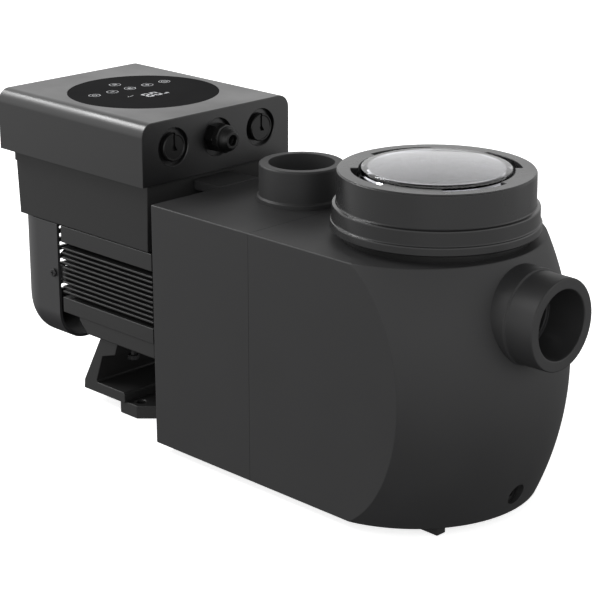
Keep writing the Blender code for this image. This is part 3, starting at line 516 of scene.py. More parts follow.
def circuit_board(name):
    """Green board with paler tracks where a stretched noise crosses a threshold."""
    mat, tree = new_material(name)
    tracks = noise(tree, 220.0, detail=0.0, stretch=(1.0, 0.25, 1.0))
    ramp = add_node(tree, "ValToRGB")
    bare, track = ramp.color_ramp.elements
    bare.position, bare.color = 0.50, (0.012, 0.085, 0.035, 1.0)
    track.position, track.color = 0.53, (0.03, 0.19, 0.08, 1.0)
    tree.links.new(tracks, ramp.inputs["Fac"])
    return surface(mat, ramp.outputs["Color"], spread(tree, tracks, 0.32, 0.45),
                   bumped(tree, ramp.outputs["Color"], 0.3, 0.05))


def banded(name, colour, waves, tint, sheen, relief, metallic):
    """Close bands across the shaft: wound wire or stacked sheets; waves are (scale, distortion)."""
    mat, tree = new_material(name)
    wave = add_node(tree, "TexWave", Scale=waves[0], Distortion=waves[1])
    wave.bands_direction = "X"
    tree.links.new(place_in_row(tree), wave.inputs["Vector"])
    bands = wave.outputs["Fac"]
    return surface(mat, tinted(tree, colour, bands, tint), spread(tree, bands, *sheen),
                   bumped(tree, bands, *relief), Metallic=metallic)


BLACK = moulded("moulded_black", (0.028, 0.028, 0.0285), 0.50, specular=0.30)
RING_BLACK = moulded("moulded_ring_black", (0.012, 0.012, 0.0123), 0.28, specular=0.5)
HOUSING_BLACK = moulded("moulded_housing_black", (0.020, 0.020, 0.020), 0.50, specular=0.3)
PLUG_BLACK = moulded("moulded_plug_black", (0.004, 0.004, 0.004), 0.36, grain=2200.0, specular=0.35)
FRAME_PAINT = moulded("frame_paint", (0.018, 0.018, 0.018), 0.45, grain=700.0, bump=0.35, specular=0.4)
GUARD_BLACK = moulded("moulded_guard_black", (0.028, 0.028, 0.029), 0.42)
STAND_BLACK = moulded("moulded_stand_black", (0.016, 0.016, 0.016), 0.45, specular=0.4)
COVER_GREY = moulded("moulded_cover_grey", (0.006, 0.006, 0.0063), 0.34, specular=0.62, mottle=0.06)
BASKET_GREY = moulded("moulded_basket_grey", (0.035, 0.035, 0.037), 0.42, grain=900.0)
PART_GREY = moulded("moulded_part_grey", (0.09, 0.09, 0.095), 0.48, grain=900.0)
RUBBER = moulded("soft_rubber", (0.014, 0.014, 0.014), 0.74, grain=2600.0, bump=0.35, specular=0.3)
CLEAR = clear_plastic("clear_window")
PANEL = glossy_panel("panel_face")
INK = printed("panel_ink", (0.75, 0.76, 0.78))
STEEL = metal("brushed_steel", (0.58, 0.58, 0.60), 0.28)
BLACK_STEEL = moulded("black_plated_steel", (0.020, 0.020, 0.021), 0.45, grain=800.0, bump=0.12, specular=0.3)
CORE = banded("core_sheets", (0.22, 0.22, 0.235), (320.0, 0.3), 0.3, (0.35, 0.5), (0.4, 0.1), 1.0)
COPPER = banded("copper_wire", (0.55, 0.20, 0.07), (260.0, 2.0), 0.35, (0.28, 0.42), (0.6, 0.3), 0.85)
CERAMIC = moulded("ceramic", (0.72, 0.71, 0.67), 0.22, grain=3000.0, bump=0.08)
BOARD = circuit_board("board_green")
ALUMINIUM = metal("milled_aluminium", (0.68, 0.69, 0.71), 0.34, stretch=(0.1, 1.0, 1.0))

CAD_FINISH = {
    "black_plastic": BLACK, "grey_plastic": PART_GREY, "cover_plastic": COVER_GREY, "panel_glass": PANEL,
    "rubber": RUBBER, "clear_lid": CLEAR, "stainless_steel": STEEL, "painted_casting": FRAME_PAINT,
    "blackened_steel": BLACK_STEEL, "core_steel": CORE, "copper_windings": COPPER,
    "seal_ceramic": CERAMIC, "circuit_board": BOARD, "aluminium": ALUMINIUM,
}


def refinish_cad_nodes():
    """Give every CAD node that stays in view inside the pump the detailed finish of its slot."""
    for name, obj in frame["nodes"].items():
        for place in obj.material_slots:
            place.material = CAD_FINISH[SLOT_OF[name]]


# ---------------------------------------------------------------- camera, floor and light

# The tent's brightness: against the sine of the height, and against how far a direction faces front or rear
TENT_STRENGTH = 2.6
TENT_LEVELS = {-0.95: 0.0, -0.78: 0.01, -0.50: 0.08, -0.22: 0.32, 0.0: 0.60, 0.35: 0.58, 0.7: 0.16, 0.95: 0.06}
FRONT_AZIMUTH = 80.0
FRONT_LEVELS = {-0.5: 0.85, 0.38: 0.85, 0.62: 1.0, 0.95: 1.0}
REAR_AZIMUTH = 195.0
REAR_LEVELS = {-0.5: 1.0, 0.45: 1.0, 0.80: 0.55, 0.98: 0.50}


def look_from(obj, azimuth, elevation):
    """Turn a camera or lamp to look in from a direction, counted round from -Y, and return that direction."""
    around, up = math.radians(azimuth), math.radians(elevation)
    back = Vector((math.sin(around) * math.cos(up), -math.cos(around) * math.cos(up), math.sin(up)))
    obj.rotation_mode = "QUATERNION"
    obj.rotation_quaternion = (-back).to_track_quat("-Z", "Y")
    bpy.context.scene.collection.objects.link(obj)
    return back


def build_camera():
    """The viewing angle of a catalogue picture: 45 degrees round from the side and 18.5 degrees up."""
    data = bpy.data.cameras.new("camera")
    data.lens = 118.7
    data.sensor_width = 36.0
    data.clip_start, data.clip_end = 0.05, 50.0
    camera = bpy.data.objects.new("camera", data)
    camera.location = (1.2452, -1.2266, 0.7237)
    look_from(camera, 45.08, 18.54)
    bpy.context.scene.camera = camera


def build_floor():
    """A plain white ground with its own glow: the camera sees it, other rays pass through it."""
    half_size, gap = 12.0, 0.4
    bm = bmesh.new()
    bmesh.ops.create_grid(bm, x_segments=1, y_segments=1, size=half_size)
    floor = add_object("floor", mesh_from("floor", bm), at=(0.0, 0.0, FLOOR_Z - gap))
    mat, tree = new_material("white_floor")
    shader = tree.nodes["Principled BSDF"]
    tree.links.new(tinted(tree, (0.93, 0.93, 0.93), noise(tree, 3.0), 0.01), shader.inputs["Base Color"])
    shader.inputs["Roughness"].default_value = 0.9
    shader.inputs["Specular IOR Level"].default_value = 0.0
    shader.inputs["Emission Color"].default_value = (1.0, 1.0, 1.0, 1.0)
    shader.inputs["Emission Strength"].default_value = 0.75
    mat.cycles.emission_sampling = "NONE"
    floor.data.materials.append(mat)
    floor.visible_diffuse = False
    floor.visible_glossy = False
    floor.visible_transmission = False
    floor.visible_shadow = False


def area_light(name, azimuth, elevation, distance, size, power):
    """A soft box that faces the pump's middle from that direction, hidden from the camera."""
    data = bpy.data.lights.new(name, "AREA")
    data.shape = "RECTANGLE"
    data.size, data.size_y = size
    data.energy = power
    light = bpy.data.objects.new(name, data)
    light.location = Vector((0.0, 0.0, 0.15)) + look_from(light, azimuth, elevation) * distance
    light.visible_camera = False


def studio_ramp(tree, value, stops):
    """Grey levels against a value that runs from -1 to 1."""
    span = add_node(tree, "MapRange", From_Min=-1.0)
    node = add_node(tree, "ValToRGB")
    ramp = node.color_ramp
    for place, level in stops.items():
        stop = ramp.elements.new((place + 1) / 2)
        stop.color = (level, level, level, 1.0)
    ramp.elements.remove(ramp.elements[0])
    ramp.elements.remove(ramp.elements[-1])
    tree.links.new(value, span.inputs["Value"])
    tree.links.new(span.outputs["Result"], node.inputs["Fac"])
    return node.outputs["Color"]


def build_world():
    """A white tent: brightest at the suction end, dimmer overhead and at the rear, dark underneath."""
    world = bpy.data.worlds.new("studio")
    world.use_nodes = True
    tree = world.node_tree
    background = tree.nodes["Background"]
    direction = add_node(tree, "TexCoord").outputs["Generated"]
    split = add_node(tree, "SeparateXYZ")
    tree.links.new(direction, split.inputs["Vector"])
    light = studio_ramp(tree, split.outputs["Z"], TENT_LEVELS)
    for azimuth, levels in ((FRONT_AZIMUTH, FRONT_LEVELS), (REAR_AZIMUTH, REAR_LEVELS)):
        side = add_node(tree, "VectorMath")
        side.operation = "DOT_PRODUCT"
        facing = math.radians(azimuth)
        side.inputs[1].default_value = (math.sin(facing), -math.cos(facing), 0.0)
        tree.links.new(direction, side.inputs[0])
        both = add_node(tree, "VectorMath")
        both.operation = "MULTIPLY"
        tree.links.new(light, both.inputs[0])
        tree.links.new(studio_ramp(tree, side.outputs["Value"], levels), both.inputs[1])
        light = both.outputs["Vector"]
    tree.links.new(light, background.inputs["Color"])
    background.inputs["Strength"].default_value = TENT_STRENGTH
    bpy.context.scene.world = world


def build_studio():
    build_camera()
    build_floor()
    build_world()
    area_light("back_card", -135.0, 26.0, 2.6, (2.6, 1.6), 6.0)
    area_light("edge_card", -65.0, 42.0, 2.4, (1.6, 0.3), 34.0)
    area_light("side_card", 150.0, 10.0, 2.4, (1.2, 1.8), 3.0)
    bpy.context.scene.view_settings.view_transform = "Standard"


# ---------------------------------------------------------------- tank and volute

def tank_form(name, inset, rear_x, edge_r, crease_r):
    """The front casing's form: level rings of flat side, crease, round nose, crease and flat side."""
    middle_z = (BODY_Z0 + BODY_Z1) / 2
    end_dz = (BODY_Z1 - BODY_Z0) / 2
    bulge = NOSE_MID_R - NOSE_END_R
    barrel_r = (end_dz ** 2 + bulge ** 2) / (2 * bulge)
    half_h = end_dz - inset
    lean = math.asin(half_h / barrel_r)

    def barrel(dz):
        return NOSE_MID_R - inset - barrel_r + math.sqrt(barrel_r ** 2 - dz ** 2)

    def drop(dz):
        over = max(dz - (half_h - edge_r), 0)
        return math.sqrt(max(edge_r ** 2 - over ** 2, 0))

    def half_width(dz):
        return BODY_HALF_W - inset - edge_r + drop(dz)

    def nose_r(dz):
        if dz <= half_h - edge_r + edge_r * math.sin(lean):
            return barrel(dz)
        return barrel(half_h) + edge_r * math.tan(lean) - edge_r / math.cos(lean) + drop(dz)

    side_steps, crease_steps, nose_steps, level_steps, edge_steps = 12, 5, 96, 26, 5
    levels = [(half_h - edge_r) * i / level_steps for i in range(level_steps)]
    levels += [half_h - edge_r + edge_r * math.sin(math.pi / 2 * i / edge_steps) for i in range(edge_steps + 1)]
    rings = []
    for dz in [-h for h in levels[:0:-1]] + levels:
        w, r = half_width(abs(dz)), nose_r(abs(dz))
        bend_x = NOSE_X + math.sqrt((r - crease_r) ** 2 - (w - crease_r) ** 2)
        bend = math.atan2(w - crease_r, bend_x - NOSE_X)
        half_ring = [polar(r, bend * i / nose_steps, (NOSE_X, 0)) for i in range(nose_steps + 1)]
        half_ring += [polar(crease_r, bend + (math.pi / 2 - bend) * i / crease_steps, (bend_x, w - crease_r))
                      for i in range(1, crease_steps + 1)]
        half_ring += [(bend_x + (rear_x - bend_x) * i / side_steps, w) for i in range(1, side_steps + 1)]
        ring = [(x, -y) for x, y in half_ring[:0:-1]] + half_ring
        rings.append([(x, y, middle_z + dz) for x, y in ring])
    return lofted(name, rings)


def build_tank():
    face_x = FRONT_LOW.x
    shell = tank_form("tank_shell", 0, face_x, EDGE_R, CREASE_R)
    hollow = tank_form("tank_hollow", WALL, face_x + WALL, 3, 4)
    cut(shell, hollow, rod("neck_hole", 75, 260, 222, LID), rod("inlet_hole", 34, 300, 255, INLET))

    seat_r, neck_top, groove_z = NECK_BORE_R - 3.2, FRONT_HIGH.z, 278.8
    neck = turned("neck", [(NECK_R, neck_top), (NECK_R, 231), (seat_r, 231), (seat_r, SEAT_Z),
                           (NECK_BORE_R, SEAT_Z), (NECK_BORE_R, neck_top), (72.2, neck_top), (72.2, groove_z),
                           (78.4, groove_z), (78.4, neck_top)], LID, radius=0.5, steps=160)
    end_x = FRONT_HIGH.x
    lip, low = 1.3, 0.5
    inlet = [(40, end_x), (40.2, 291.5), (40.8, 290.7), (42, 290), (42, 262), (PIPE_STOP_R, 262),
             (PIPE_STOP_R, 281), (SOCKET_R, 281), (SOCKET_R, end_x)]
    inlet = turned("inlet_pipe", inlet, INLET, radius=[lip, low, low, lip, 1, 1, 1, low, lip])
    drain_boss = rod("drain_boss", 15, 268, 250, DRAIN, steps=64)
    join(shell, neck, inlet, drain_boss, rod("suction_boss", 42, 80, face_x + 1, SHAFT))

    drain_bore = turned("drain_bore", [(0, 300), (9.6, 300), (9.6, DRAIN_SEAT_X), (7.2, DRAIN_SEAT_X),
                                       (7.2, 240), (0, 240)], DRAIN, steps=64)
    cut(shell, drain_bore, rod("suction_bore", 29.8, 92, 50, SHAFT))
    finish_piece(shell, "front_casing")

    # The neck's thread gets the near-black plug moulding as painted shade: it darkens the shadowed gap under the
    # lock ring.
    inner_r, root_r, crest_r = NECK_R - 0.5, NECK_R + 0.05, NECK_R + 0.55
    pitch, start_z, foot_z = 5, neck_top - 1.2, BODY_Z1 + 0.1
    thread = [(inner_r, start_z), (root_r, start_z)]
    thread += ridges(root_r, crest_r, neck_top - pitch, foot_z + pitch, pitch, 1.6, 0.7)
    thread += [(root_r, foot_z), (inner_r, foot_z)]
    finish_piece(turned("neck_thread_painted_shade", thread, LID, steps=160), mat=PLUG_BLACK, slot="black_plastic")


def build_volute():
    rear_x, face_x = REAR_LOW.x, REAR_HIGH.x
    shell = soft_box("volute_shell", (rear_x, -BODY_HALF_W, BODY_Z0), (face_x, BODY_HALF_W, BODY_Z1),
                     EDGE_R, sharp_x=face_x)
    hollow_low = (rear_x + 9, -BODY_HALF_W + WALL, BODY_Z0 + WALL)
    hollow_high = (face_x + 10, BODY_HALF_W - WALL, BODY_Z1 - WALL)
    hollow = soft_box("volute_hollow", hollow_low, hollow_high, 14)
    opening = rod("rear_opening", 90, -45, -80, SHAFT)
    cut(shell, hollow, opening, rod("discharge_hole", 34, 250, 222, DISCHARGE))

    top = REAR_HIGH.z
    pipe = [(39, top), (39, 244.4), (41, 243), (41, 231), (PIPE_STOP_R, 231), (PIPE_STOP_R, 237),
            (SOCKET_R, 237), (SOCKET_R, top)]
    pipe = turned("discharge_pipe", pipe, DISCHARGE, radius=[2, 0.5, 0.8, 1, 1, 0.5, 0.5, 0.7])
    seat_x = rear_x + 10
    well = [(0, seat_x), (8.5, seat_x), (8.5, rear_x + 0.6), (9.4, rear_x - 0.4), (9.4, rear_x - 6),
            (0, rear_x - 6)]
    wells = [turned("head_well", well, along_x(y, z), steps=48) for y, z in TIE_BOLTS]
    cut(join(shell, pipe), *wells)
    finish_piece(shell, "rear_casing")

    for i, (y, z) in enumerate(TIE_BOLTS):
        at, name = along_x(y, z), "tie_bolt_head_%d" % (i + 1)
        head = prism(name, [hexagon(12.8)], "X", (seat_x - 5.7, seat_x - 1.6), at[1], 0.5)
        washer = rod("washer", 7.6, seat_x - 0.4, seat_x - 1.9, at, 0.2, 48)
        join(head, washer, rod("shank", 4, 78, seat_x - 1, at, 0.6, 32))
        finish_piece(head, "tie_bolt_%d" % (i + 1))


def build_tank_foot():
    """Two rubber pads joined by a bar."""
    low, high = corners("front_foot")
    pad_w = 11
    bar = soft_box("tank_foot", (low.x + 2, low.y + 2, 3), (high.x - 2, high.y - 2, high.z - 0.4), 0.8)
    pads = [soft_box("pad", (low.x, y, low.z), (high.x, y + pad_w, high.z), 1.2)
            for y in (low.y, high.y - pad_w)]
    finish_piece(join(bar, *pads), "front_foot")


# ---------------------------------------------------------------- lid, ring and basket

def build_lid():
    crown_r, flange_r = 64.5, 79
    rim_slope_r, under_r, glass_t, arc_steps = 62.6, 59, 5.6, 14
    top_z, rim_z = cad_high.z / MM - 0.9, 299.6
    rise = top_z - rim_z
    dome_r = (rim_slope_r ** 2 + rise ** 2) / (2 * rise)
    reaches = [rim_slope_r * i / arc_steps for i in range(arc_steps + 1)]
    crown = [(r, top_z - dome_r + math.sqrt(dome_r ** 2 - r ** 2)) for r in reaches]
    under = [(r, h - glass_t) for r, h in crown if r < under_r][::-1]
    skirt = [(64.1, 298.9), (crown_r, 297.4), (crown_r, 289.2), (flange_r, 289.2), (flange_r, 283.8),
             (60, 283.8)]
    profile = crown + skirt + [(60, 292.6)] + under
    radii = [0] * len(crown) + [0.6, 0.6, 0.5, 1, 0.8, 0.8, 2] + [0] * len(under)
    finish_piece(turned("lid_window", profile, LID, radius=radii, steps=192), "lid_lens")
    build_o_ring("lid_seal", "lid_o_ring", 75.3, 2.2, "Z", (LID_X, 0, 281.3), 160)


def notched_lip():
    """The lip's inner edge: a circle with four stretches set back to a larger radius."""
    arc_steps, corner_r = 16, 1.3
    outline, radii = [], []
    for notch, following in zip(NOTCH_ANGLES, NOTCH_ANGLES[1:] + (NOTCH_ANGLES[0] + 360,)):
        arcs = ((NOTCH_R, notch - NOTCH_HALF_SPAN, notch + NOTCH_HALF_SPAN),
                (LIP_R, notch + NOTCH_HALF_SPAN, following - NOTCH_HALF_SPAN))
        for reach, start, end in arcs:
            for k in range(arc_steps + 1):
                angle = math.radians(start + (end - start) * k / arc_steps)
                outline.append(polar(reach, angle))
                radii.append(corner_r if k in (0, arc_steps) else 0)
    return soften(outline, radii)


def build_ring():
    top, foot = RING_HIGH.z, RING_LOW.z
    bore = NECK_R + 0.9
    join_z = top - 5
    lip = prism("clamp_ring", [circle(84.4, 360), notched_lip()], "Z", (LIP_LOW_Z, top), LID[1], 0.7)
    outside = [(85, top - 0.9), (85.4, 269.2), (86, 268.2), (88.5, 267.6), (88.9, 266.6), (88.9, 255.4),
               (89.3, 254.6), (90.2, 254.2), (90.6, 253.2), (90.6, 247.6), (89.6, foot)]
    skirt = outside + [(bore, foot), (bore, join_z), (83.5, top - 0.9)]
    radii = [1.1, 0.3, 0.3, 0.3, 0.4, 0.3, 0.3, 0.3, 0.4, 0.5, 0.5, 0.4, 0.3, 0.2]
    skirt = turned("ring_skirt", skirt, LID, radius=radii, steps=240)
    finish_piece(join(lip, skirt), "lock_ring", RING_BLACK)


def slotted_cup(name, floor_z, low_r, top_r, top_z, bars):
    """The basket's wall and floor: a tapered grid with its slots left open, thickened afterwards."""
    slot_rows, row_h, band_h, foot_h, per_bar = 6, 24.5, 4.5, 14, 4
    heights = [floor_z, floor_z + foot_h]
    for _ in range(slot_rows):
        heights += [heights[-1] + row_h, heights[-1] + row_h + band_h]
    heights[-1] = top_z
    angles = [i * math.tau / (bars * per_bar) for i in range(bars * per_bar)]

    def is_slot(i):
        return i % per_bar in (0, 1)

    bm = bmesh.new()
    rings = []
    for z in heights:
        r = low_r + (top_r - low_r) * (z - floor_z) / (top_z - floor_z)
        rings.append(add_ring(bm, [(*polar(r, a), z) for a in angles]))
    for row, (lower, upper) in enumerate(zip(rings, rings[1:])):
        span_rings(bm, lower, upper, is_slot if row % 2 == 1 else None)
    spokes = [rings[0]] + [add_ring(bm, [(*polar(r, a), floor_z) for a in angles]) for r in (low_r - 4, 16, 8)]
    for row, (outer, inner) in enumerate(zip(spokes, spokes[1:])):
        span_rings(bm, inner, outer, is_slot if row == 1 else None)
    bm.faces.new(spokes[-1])
    cup = add_object(name, mesh_from(name, bm), *LID)
    wall = cup.modifiers.new("wall", "SOLIDIFY")
    wall.thickness = 2.4 * MM
    wall.offset = -1
    cup.data = evaluated(cup)
    cup.modifiers.clear()
    return cup


def build_basket():
    low, high = corners("strainer_basket")
    top_r, low_r, rim_r = 66, 58, 69.6
    rim_z = SEAT_Z + 0.3
    cup = slotted_cup("strainer", low.z + 0.05, low_r - 0.1, top_r - 0.4, rim_z + 1, 40)
    rim = turned("strainer_rim", [(rim_r, rim_z + 3.7), (rim_r, rim_z), (top_r, rim_z), (top_r - 0.6, rim_z - 6),
                                  (top_r - 3.2, rim_z - 6), (top_r - 3.2, rim_z + 3.7)], LID, radius=0.5)
    path, steps, reach, rise = [], 32, 65.6, high.z - rim_z - 4.6
    for i in range(steps + 1):
        swing = math.pi * i / steps
        path.append((LID_X, reach * math.cos(swing), rim_z + 2 + rise * math.sin(swing)))
    handle = tube("strainer_handle", path, 2.5, sides=16)
    grip = soft_box("strainer_grip", (LID_X - 5, -16, high.z - 5.2), (LID_X + 5, 16, high.z - 0.3), 1.6)
    join(rim, handle, grip)
    finish_piece(rim, "strainer_basket", BASKET_GREY)
    finish_piece(cup, mat=BASKET_GREY, slot="grey_plastic", body="basket")


# ---------------------------------------------------------------- plugs and cable entries

def build_drain_plug():
    low, high = corners("drain_plug")
    head_x = DRAIN_SEAT_X + 2.2
    profile = [(0, high.x), (9.2, high.x), (9.2, head_x), (6.9, head_x), (6.9, low.x), (0, low.x)]
    plug = turned("drain_bung", profile, DRAIN, radius=[0, 1, 0.3, 0.2, 0.6, 0], steps=64)
    socket = prism("drain_socket", [hexagon(8, 0.3)], "X", (265, 280), DRAIN[1])
    finish_piece(cut(plug, socket), "drain_plug", PLUG_BLACK)
    build_o_ring("drain_washer", "drain_plug_o_ring", 8.3, 0.75, "X", (DRAIN_SEAT_X + 1.1, 0, DRAIN_Z), 64)


def build_entry_plugs():
    """Coin-slot blanking plugs: a slot runs from the rim to a small pointed pocket in the middle."""
    face_x = corners("blanking_plug_left")[1].x
    root_r, crest_r, pitch, shank_x, tip_x = 9.3, 10, 1.5, -98.5, -108
    thread = ridges(root_r, crest_r, shank_x - 0.6 * pitch, tip_x + 0.5 * pitch, pitch, 0.3 * pitch, 0.1)
    shank_profile = [(0, shank_x), (root_r, shank_x), *thread, (root_r, tip_x), (0, tip_x)]
    for side, y in (("left", ENTRY_Y), ("right", -ENTRY_Y)):
        at = along_x(y, ENTRY_Z)
        profile = [(0, face_x - 0.7), (11.2, face_x - 0.7), (11.8, face_x), (12.7, face_x), (13.5, face_x - 0.9),
                   (13.5, -96.9), (9.6, -96.9), (9.6, -99), (0, -99)]
        head = turned("entry_plug_" + side, profile, at, radius=[0, 0.2, 0.2, 0.3, 0.4, 0.2, 0, 0, 0], steps=96)
        shank = turned("plug_thread", shank_profile, at, steps=48)
        pocket = [(y - 2.4, ENTRY_Z + 0.6), (y - 0.8, ENTRY_Z - 3.2), (y + 4, ENTRY_Z - 3.6),
                  (y + 1.1, ENTRY_Z + 1.6)]
        pocket = prism("pocket", [soften(pocket, 0.3)], "X", (face_x - 3.4, face_x + 2))
        slot_low, slot_high = (face_x - 2.6, y - 1.1, ENTRY_Z + 0.2), (face_x + 2, y + 1.1, ENTRY_Z + 14.5)
        cut(join(head, shank), pocket)
        cut(head, soft_box("slot", slot_low, slot_high, 0.3))
        finish_piece(head, "blanking_plug_" + side, PLUG_BLACK)
        build_o_ring("entry_seal_" + side, "plug_o_ring_" + side, 11.9, 0.8, "X", (-98, y, ENTRY_Z), 72)


def build_gland():
    axis_at = along_x(0, ENTRY_Z)
    base = prism("gland_base", [hexagon(24, 0.8), circle(7)], "X", (ENTRY_FLOOR_X + 0.3, -88.5), axis_at[1],
                 edge_r=0.5)
    sleeve = turned("gland_sleeve", [(9, -79.2), (9, -92), (10, -98.5), (10, -108), (5.2, -108), (5.2, -87.2),
                                     (7.6, -87.2), (7.6, -79.2)], axis_at, radius=0.2, steps=64)
    finish_piece(join(base, sleeve), "gland_body", PLUG_BLACK)

    tip_x = corners("gland_nut")[1].x
    grip_r = 13.8
    shell = turned("gland_dome", [(5.6, tip_x), (7.6, tip_x), (8.8, -74.6), (10.6, -77), (11.5, -79.6),
                                  (12, -82.4), (13.9, -83.1), (14.2, -84.4), (14.2, -88.2), (9.5, -88.2),
                                  (9.5, -78.7), (5, -78.2), (5, -74.2)],
                   axis_at, radius=[0.2, 0.6, 0.8, 1.2, 1.2, 0.5, 0.4, 0.5, 0.5, 0.2, 0.2, 0.2, 0.2], steps=120)
    facets = soften(circle(grip_r, 10, start=math.pi / 10), 0.7, steps=3)
    overlap(shell, prism("dome_facets", [facets], "X", (-96, -60), axis_at[1]))
    finish_piece(shell, "gland_nut", PLUG_BLACK)

    seal = turned("cable_seal", [(7.3, -79.1), (7.3, -86.9), (5.2, -86.9), (5.2, -79.1)], axis_at, radius=0.4)
    finish_piece(seal, "gland_seal")


# ---------------------------------------------------------------- motor

def frame_outline():
    """Half of the motor frame's section, mirrored: upper band, comb of fins, lower band, round underside."""
    low, high = FIN_ZONE
    half_w = FRAME_HIGH.y
    pitch = (high - low) / (FIN_COUNT + 1.4)
    fin_t = pitch * 0.5
    half = [(half_w, FRAME_HIGH.z), (half_w, high), (FIN_ROOT_Y, high)]
    for i in range(FIN_COUNT):
        top = high - pitch * (i + 1.25) + fin_t / 2
        half += [(FIN_ROOT_Y, top), (FIN_TIP_Y, top - 0.2), (FIN_TIP_Y, top - fin_t + 0.2),
                 (FIN_ROOT_Y, top - fin_t)]
    half += [(FIN_ROOT_Y, low), (half_w, low), (half_w, BAND_LOW_Z)]
    under_r, steps = 52, 24
    start = math.asin((BAND_LOW_Z - SHAFT_Z) / under_r)
    half += [polar(under_r, start + (-math.pi / 2 - start) * i / steps, (0, SHAFT_Z)) for i in range(steps + 1)]
    return soften(half + [(-y, z) for y, z in half[-2::-1]], 0.7, steps=3)


def stand_bolt_holes(high, low):
    return [rod("hole", STAND_BOLT_HOLE_R, high, low, ("Z", (STAND_BOLT_X, y, 0)), steps=32)
            for y in (-STAND_BOLT_Y, STAND_BOLT_Y)]


def build_motor_frame():
    front_x, rear_x = FRAME_HIGH.x, FRAME_LOW.x
    body = prism("motor_body", [frame_outline()], "X", (rear_x, front_x), edge_r=0.5)
    block_rear_x, block_low_z, block_top_z = -213, 73, 94
    block = [(block_rear_x, block_top_z), (block_rear_x, 84.8), (block_rear_x + 12, block_low_z),
             (front_x - 0.5, block_low_z), (front_x - 0.5, block_top_z)]
    block_half_w = FRAME_HIGH.y - 1.4
    block = prism("frame_block", [soften(block, 1)], "Y", (-block_half_w, block_half_w), edge_r=1.2)
    cut(join(body, block), rod("frame_bore", 46.5, -90, -245, SHAFT), *stand_bolt_holes(88, 60))
    finish_piece(body, "motor_frame")


def build_end_bells():
    front = turned("bell_front", [(89, -72.3), (89, -79), (62, -86), (62, -99.7), (23.8, -99.7), (23.8, -85.2),
                                  (11.5, -85.2), (11.5, -80.5), (32, -80.5), (78, -76.5), (80, -72.3)],
                   SHAFT, radius=[1, 1, 2, 1, .3, .3, .3, .3, 1, 1, .5], steps=160)
    finish_piece(front, "front_end_bell")

    flange_x, arm_root_y, lug_root_y, tip_y = FRAME_LOW.x - 0.3, 40, 70, 76.2
    rear = turned("bell_rear", [(50, flange_x), (50, -241.5), (26, -243.5), (26, -254), (9.6, -254), (9.6, -249.5),
                                (20.3, -249.5), (20.3, flange_x)], SHAFT, radius=0.8, steps=120)
    parts = []
    for side in (-1, 1):
        y0, y1 = sorted((arm_root_y * side, tip_y * side))
        parts.append(soft_box("arm", (-241, y0, 119), (flange_x - 0.7, y1, 133), 1))
        y0, y1 = sorted((lug_root_y * side, tip_y * side))
        parts.append(soft_box("lug", (-259, y0, 119.5), (flange_x - 2.2, y1, 132.5), 1))
    cut(join(rear, *parts), rod("lug_holes", GUARD_SCREW_HOLE_R, 90, -90, GUARD_SCREWS, steps=32))
    finish_piece(rear, "rear_end_bell")


def build_pump_plate():
    """The seal plate with its ring of bolts, which clamp the motor bell to the volute."""
    plate = turned("pump_plate", [(89.6, -50), (89.6, -56), (86.8, -56), (86.8, -60), (89.6, -60), (89.6, -64.3),
                                  (102, -64.3), (102, -72), (82, -72), (82, -58), (30, -58), (30, -66), (12, -66),
                                  (12, -57.3), (17.8, -57.3), (17.8, -50)],
                   SHAFT, radius=[.6, .3, .2, .2, .3, .3, .8, 1, .5, .5, .5, .3, .3, .3, .2, .3], steps=180)
    finish_piece(plate, "seal_plate")
    bolt_count, bolt_circle_r, seat_x = 8, 95.5, -72.05
    for i in range(bolt_count):
        at = (0, *polar(bolt_circle_r, (i + 0.5) * math.tau / bolt_count, (0, SHAFT_Z)))
        head = prism("plate_bolt_%d" % (i + 1), [hexagon(8, 0.4)], "X", (seat_x - 5.2, seat_x - 0.9), at, 0.35)
        washer = rod("washer", 5.4, seat_x, seat_x - 1.1, ("X", at), 0.2, 40)
        finish_piece(join(head, washer), slot="stainless_steel")


def rounded_outline(half_w, z0, z1, low_r, high_r, steps=14):
    """A rectangle across the pump with one radius at its low corners and one at its high ones."""
    points = [(half_w, z0), (half_w, z1), (-half_w, z1), (-half_w, z0)]
    return soften(points, [low_r, high_r, high_r, low_r], steps=steps)


def guard_form(name, inset, front_x):
    """The fan cover's form: a section that draws in towards the rear in a quarter circle."""
    half_w, rear_x = GUARD_HIGH.y - inset, GUARD_LOW.x + inset
    low, high = GUARD_LOW.z + inset, GUARD_HIGH.z - inset
    rear_r, steps, top_r = GUARD_REAR_R - inset, 24, 1.4
    stations = [(front_x, 0)]
    for k in range(steps + 1):
        turn = math.pi / 2 * k / steps
        stations.append((rear_x + rear_r * (1 - math.sin(turn)), rear_r * (1 - math.cos(turn))))
    rings = []
    for x, draw in stations:
        outline = rounded_outline(half_w - draw, low + draw, high, GUARD_LOW_R - inset, top_r)
        rings.append([(x, y, z) for y, z in outline])
    return lofted(name, rings)


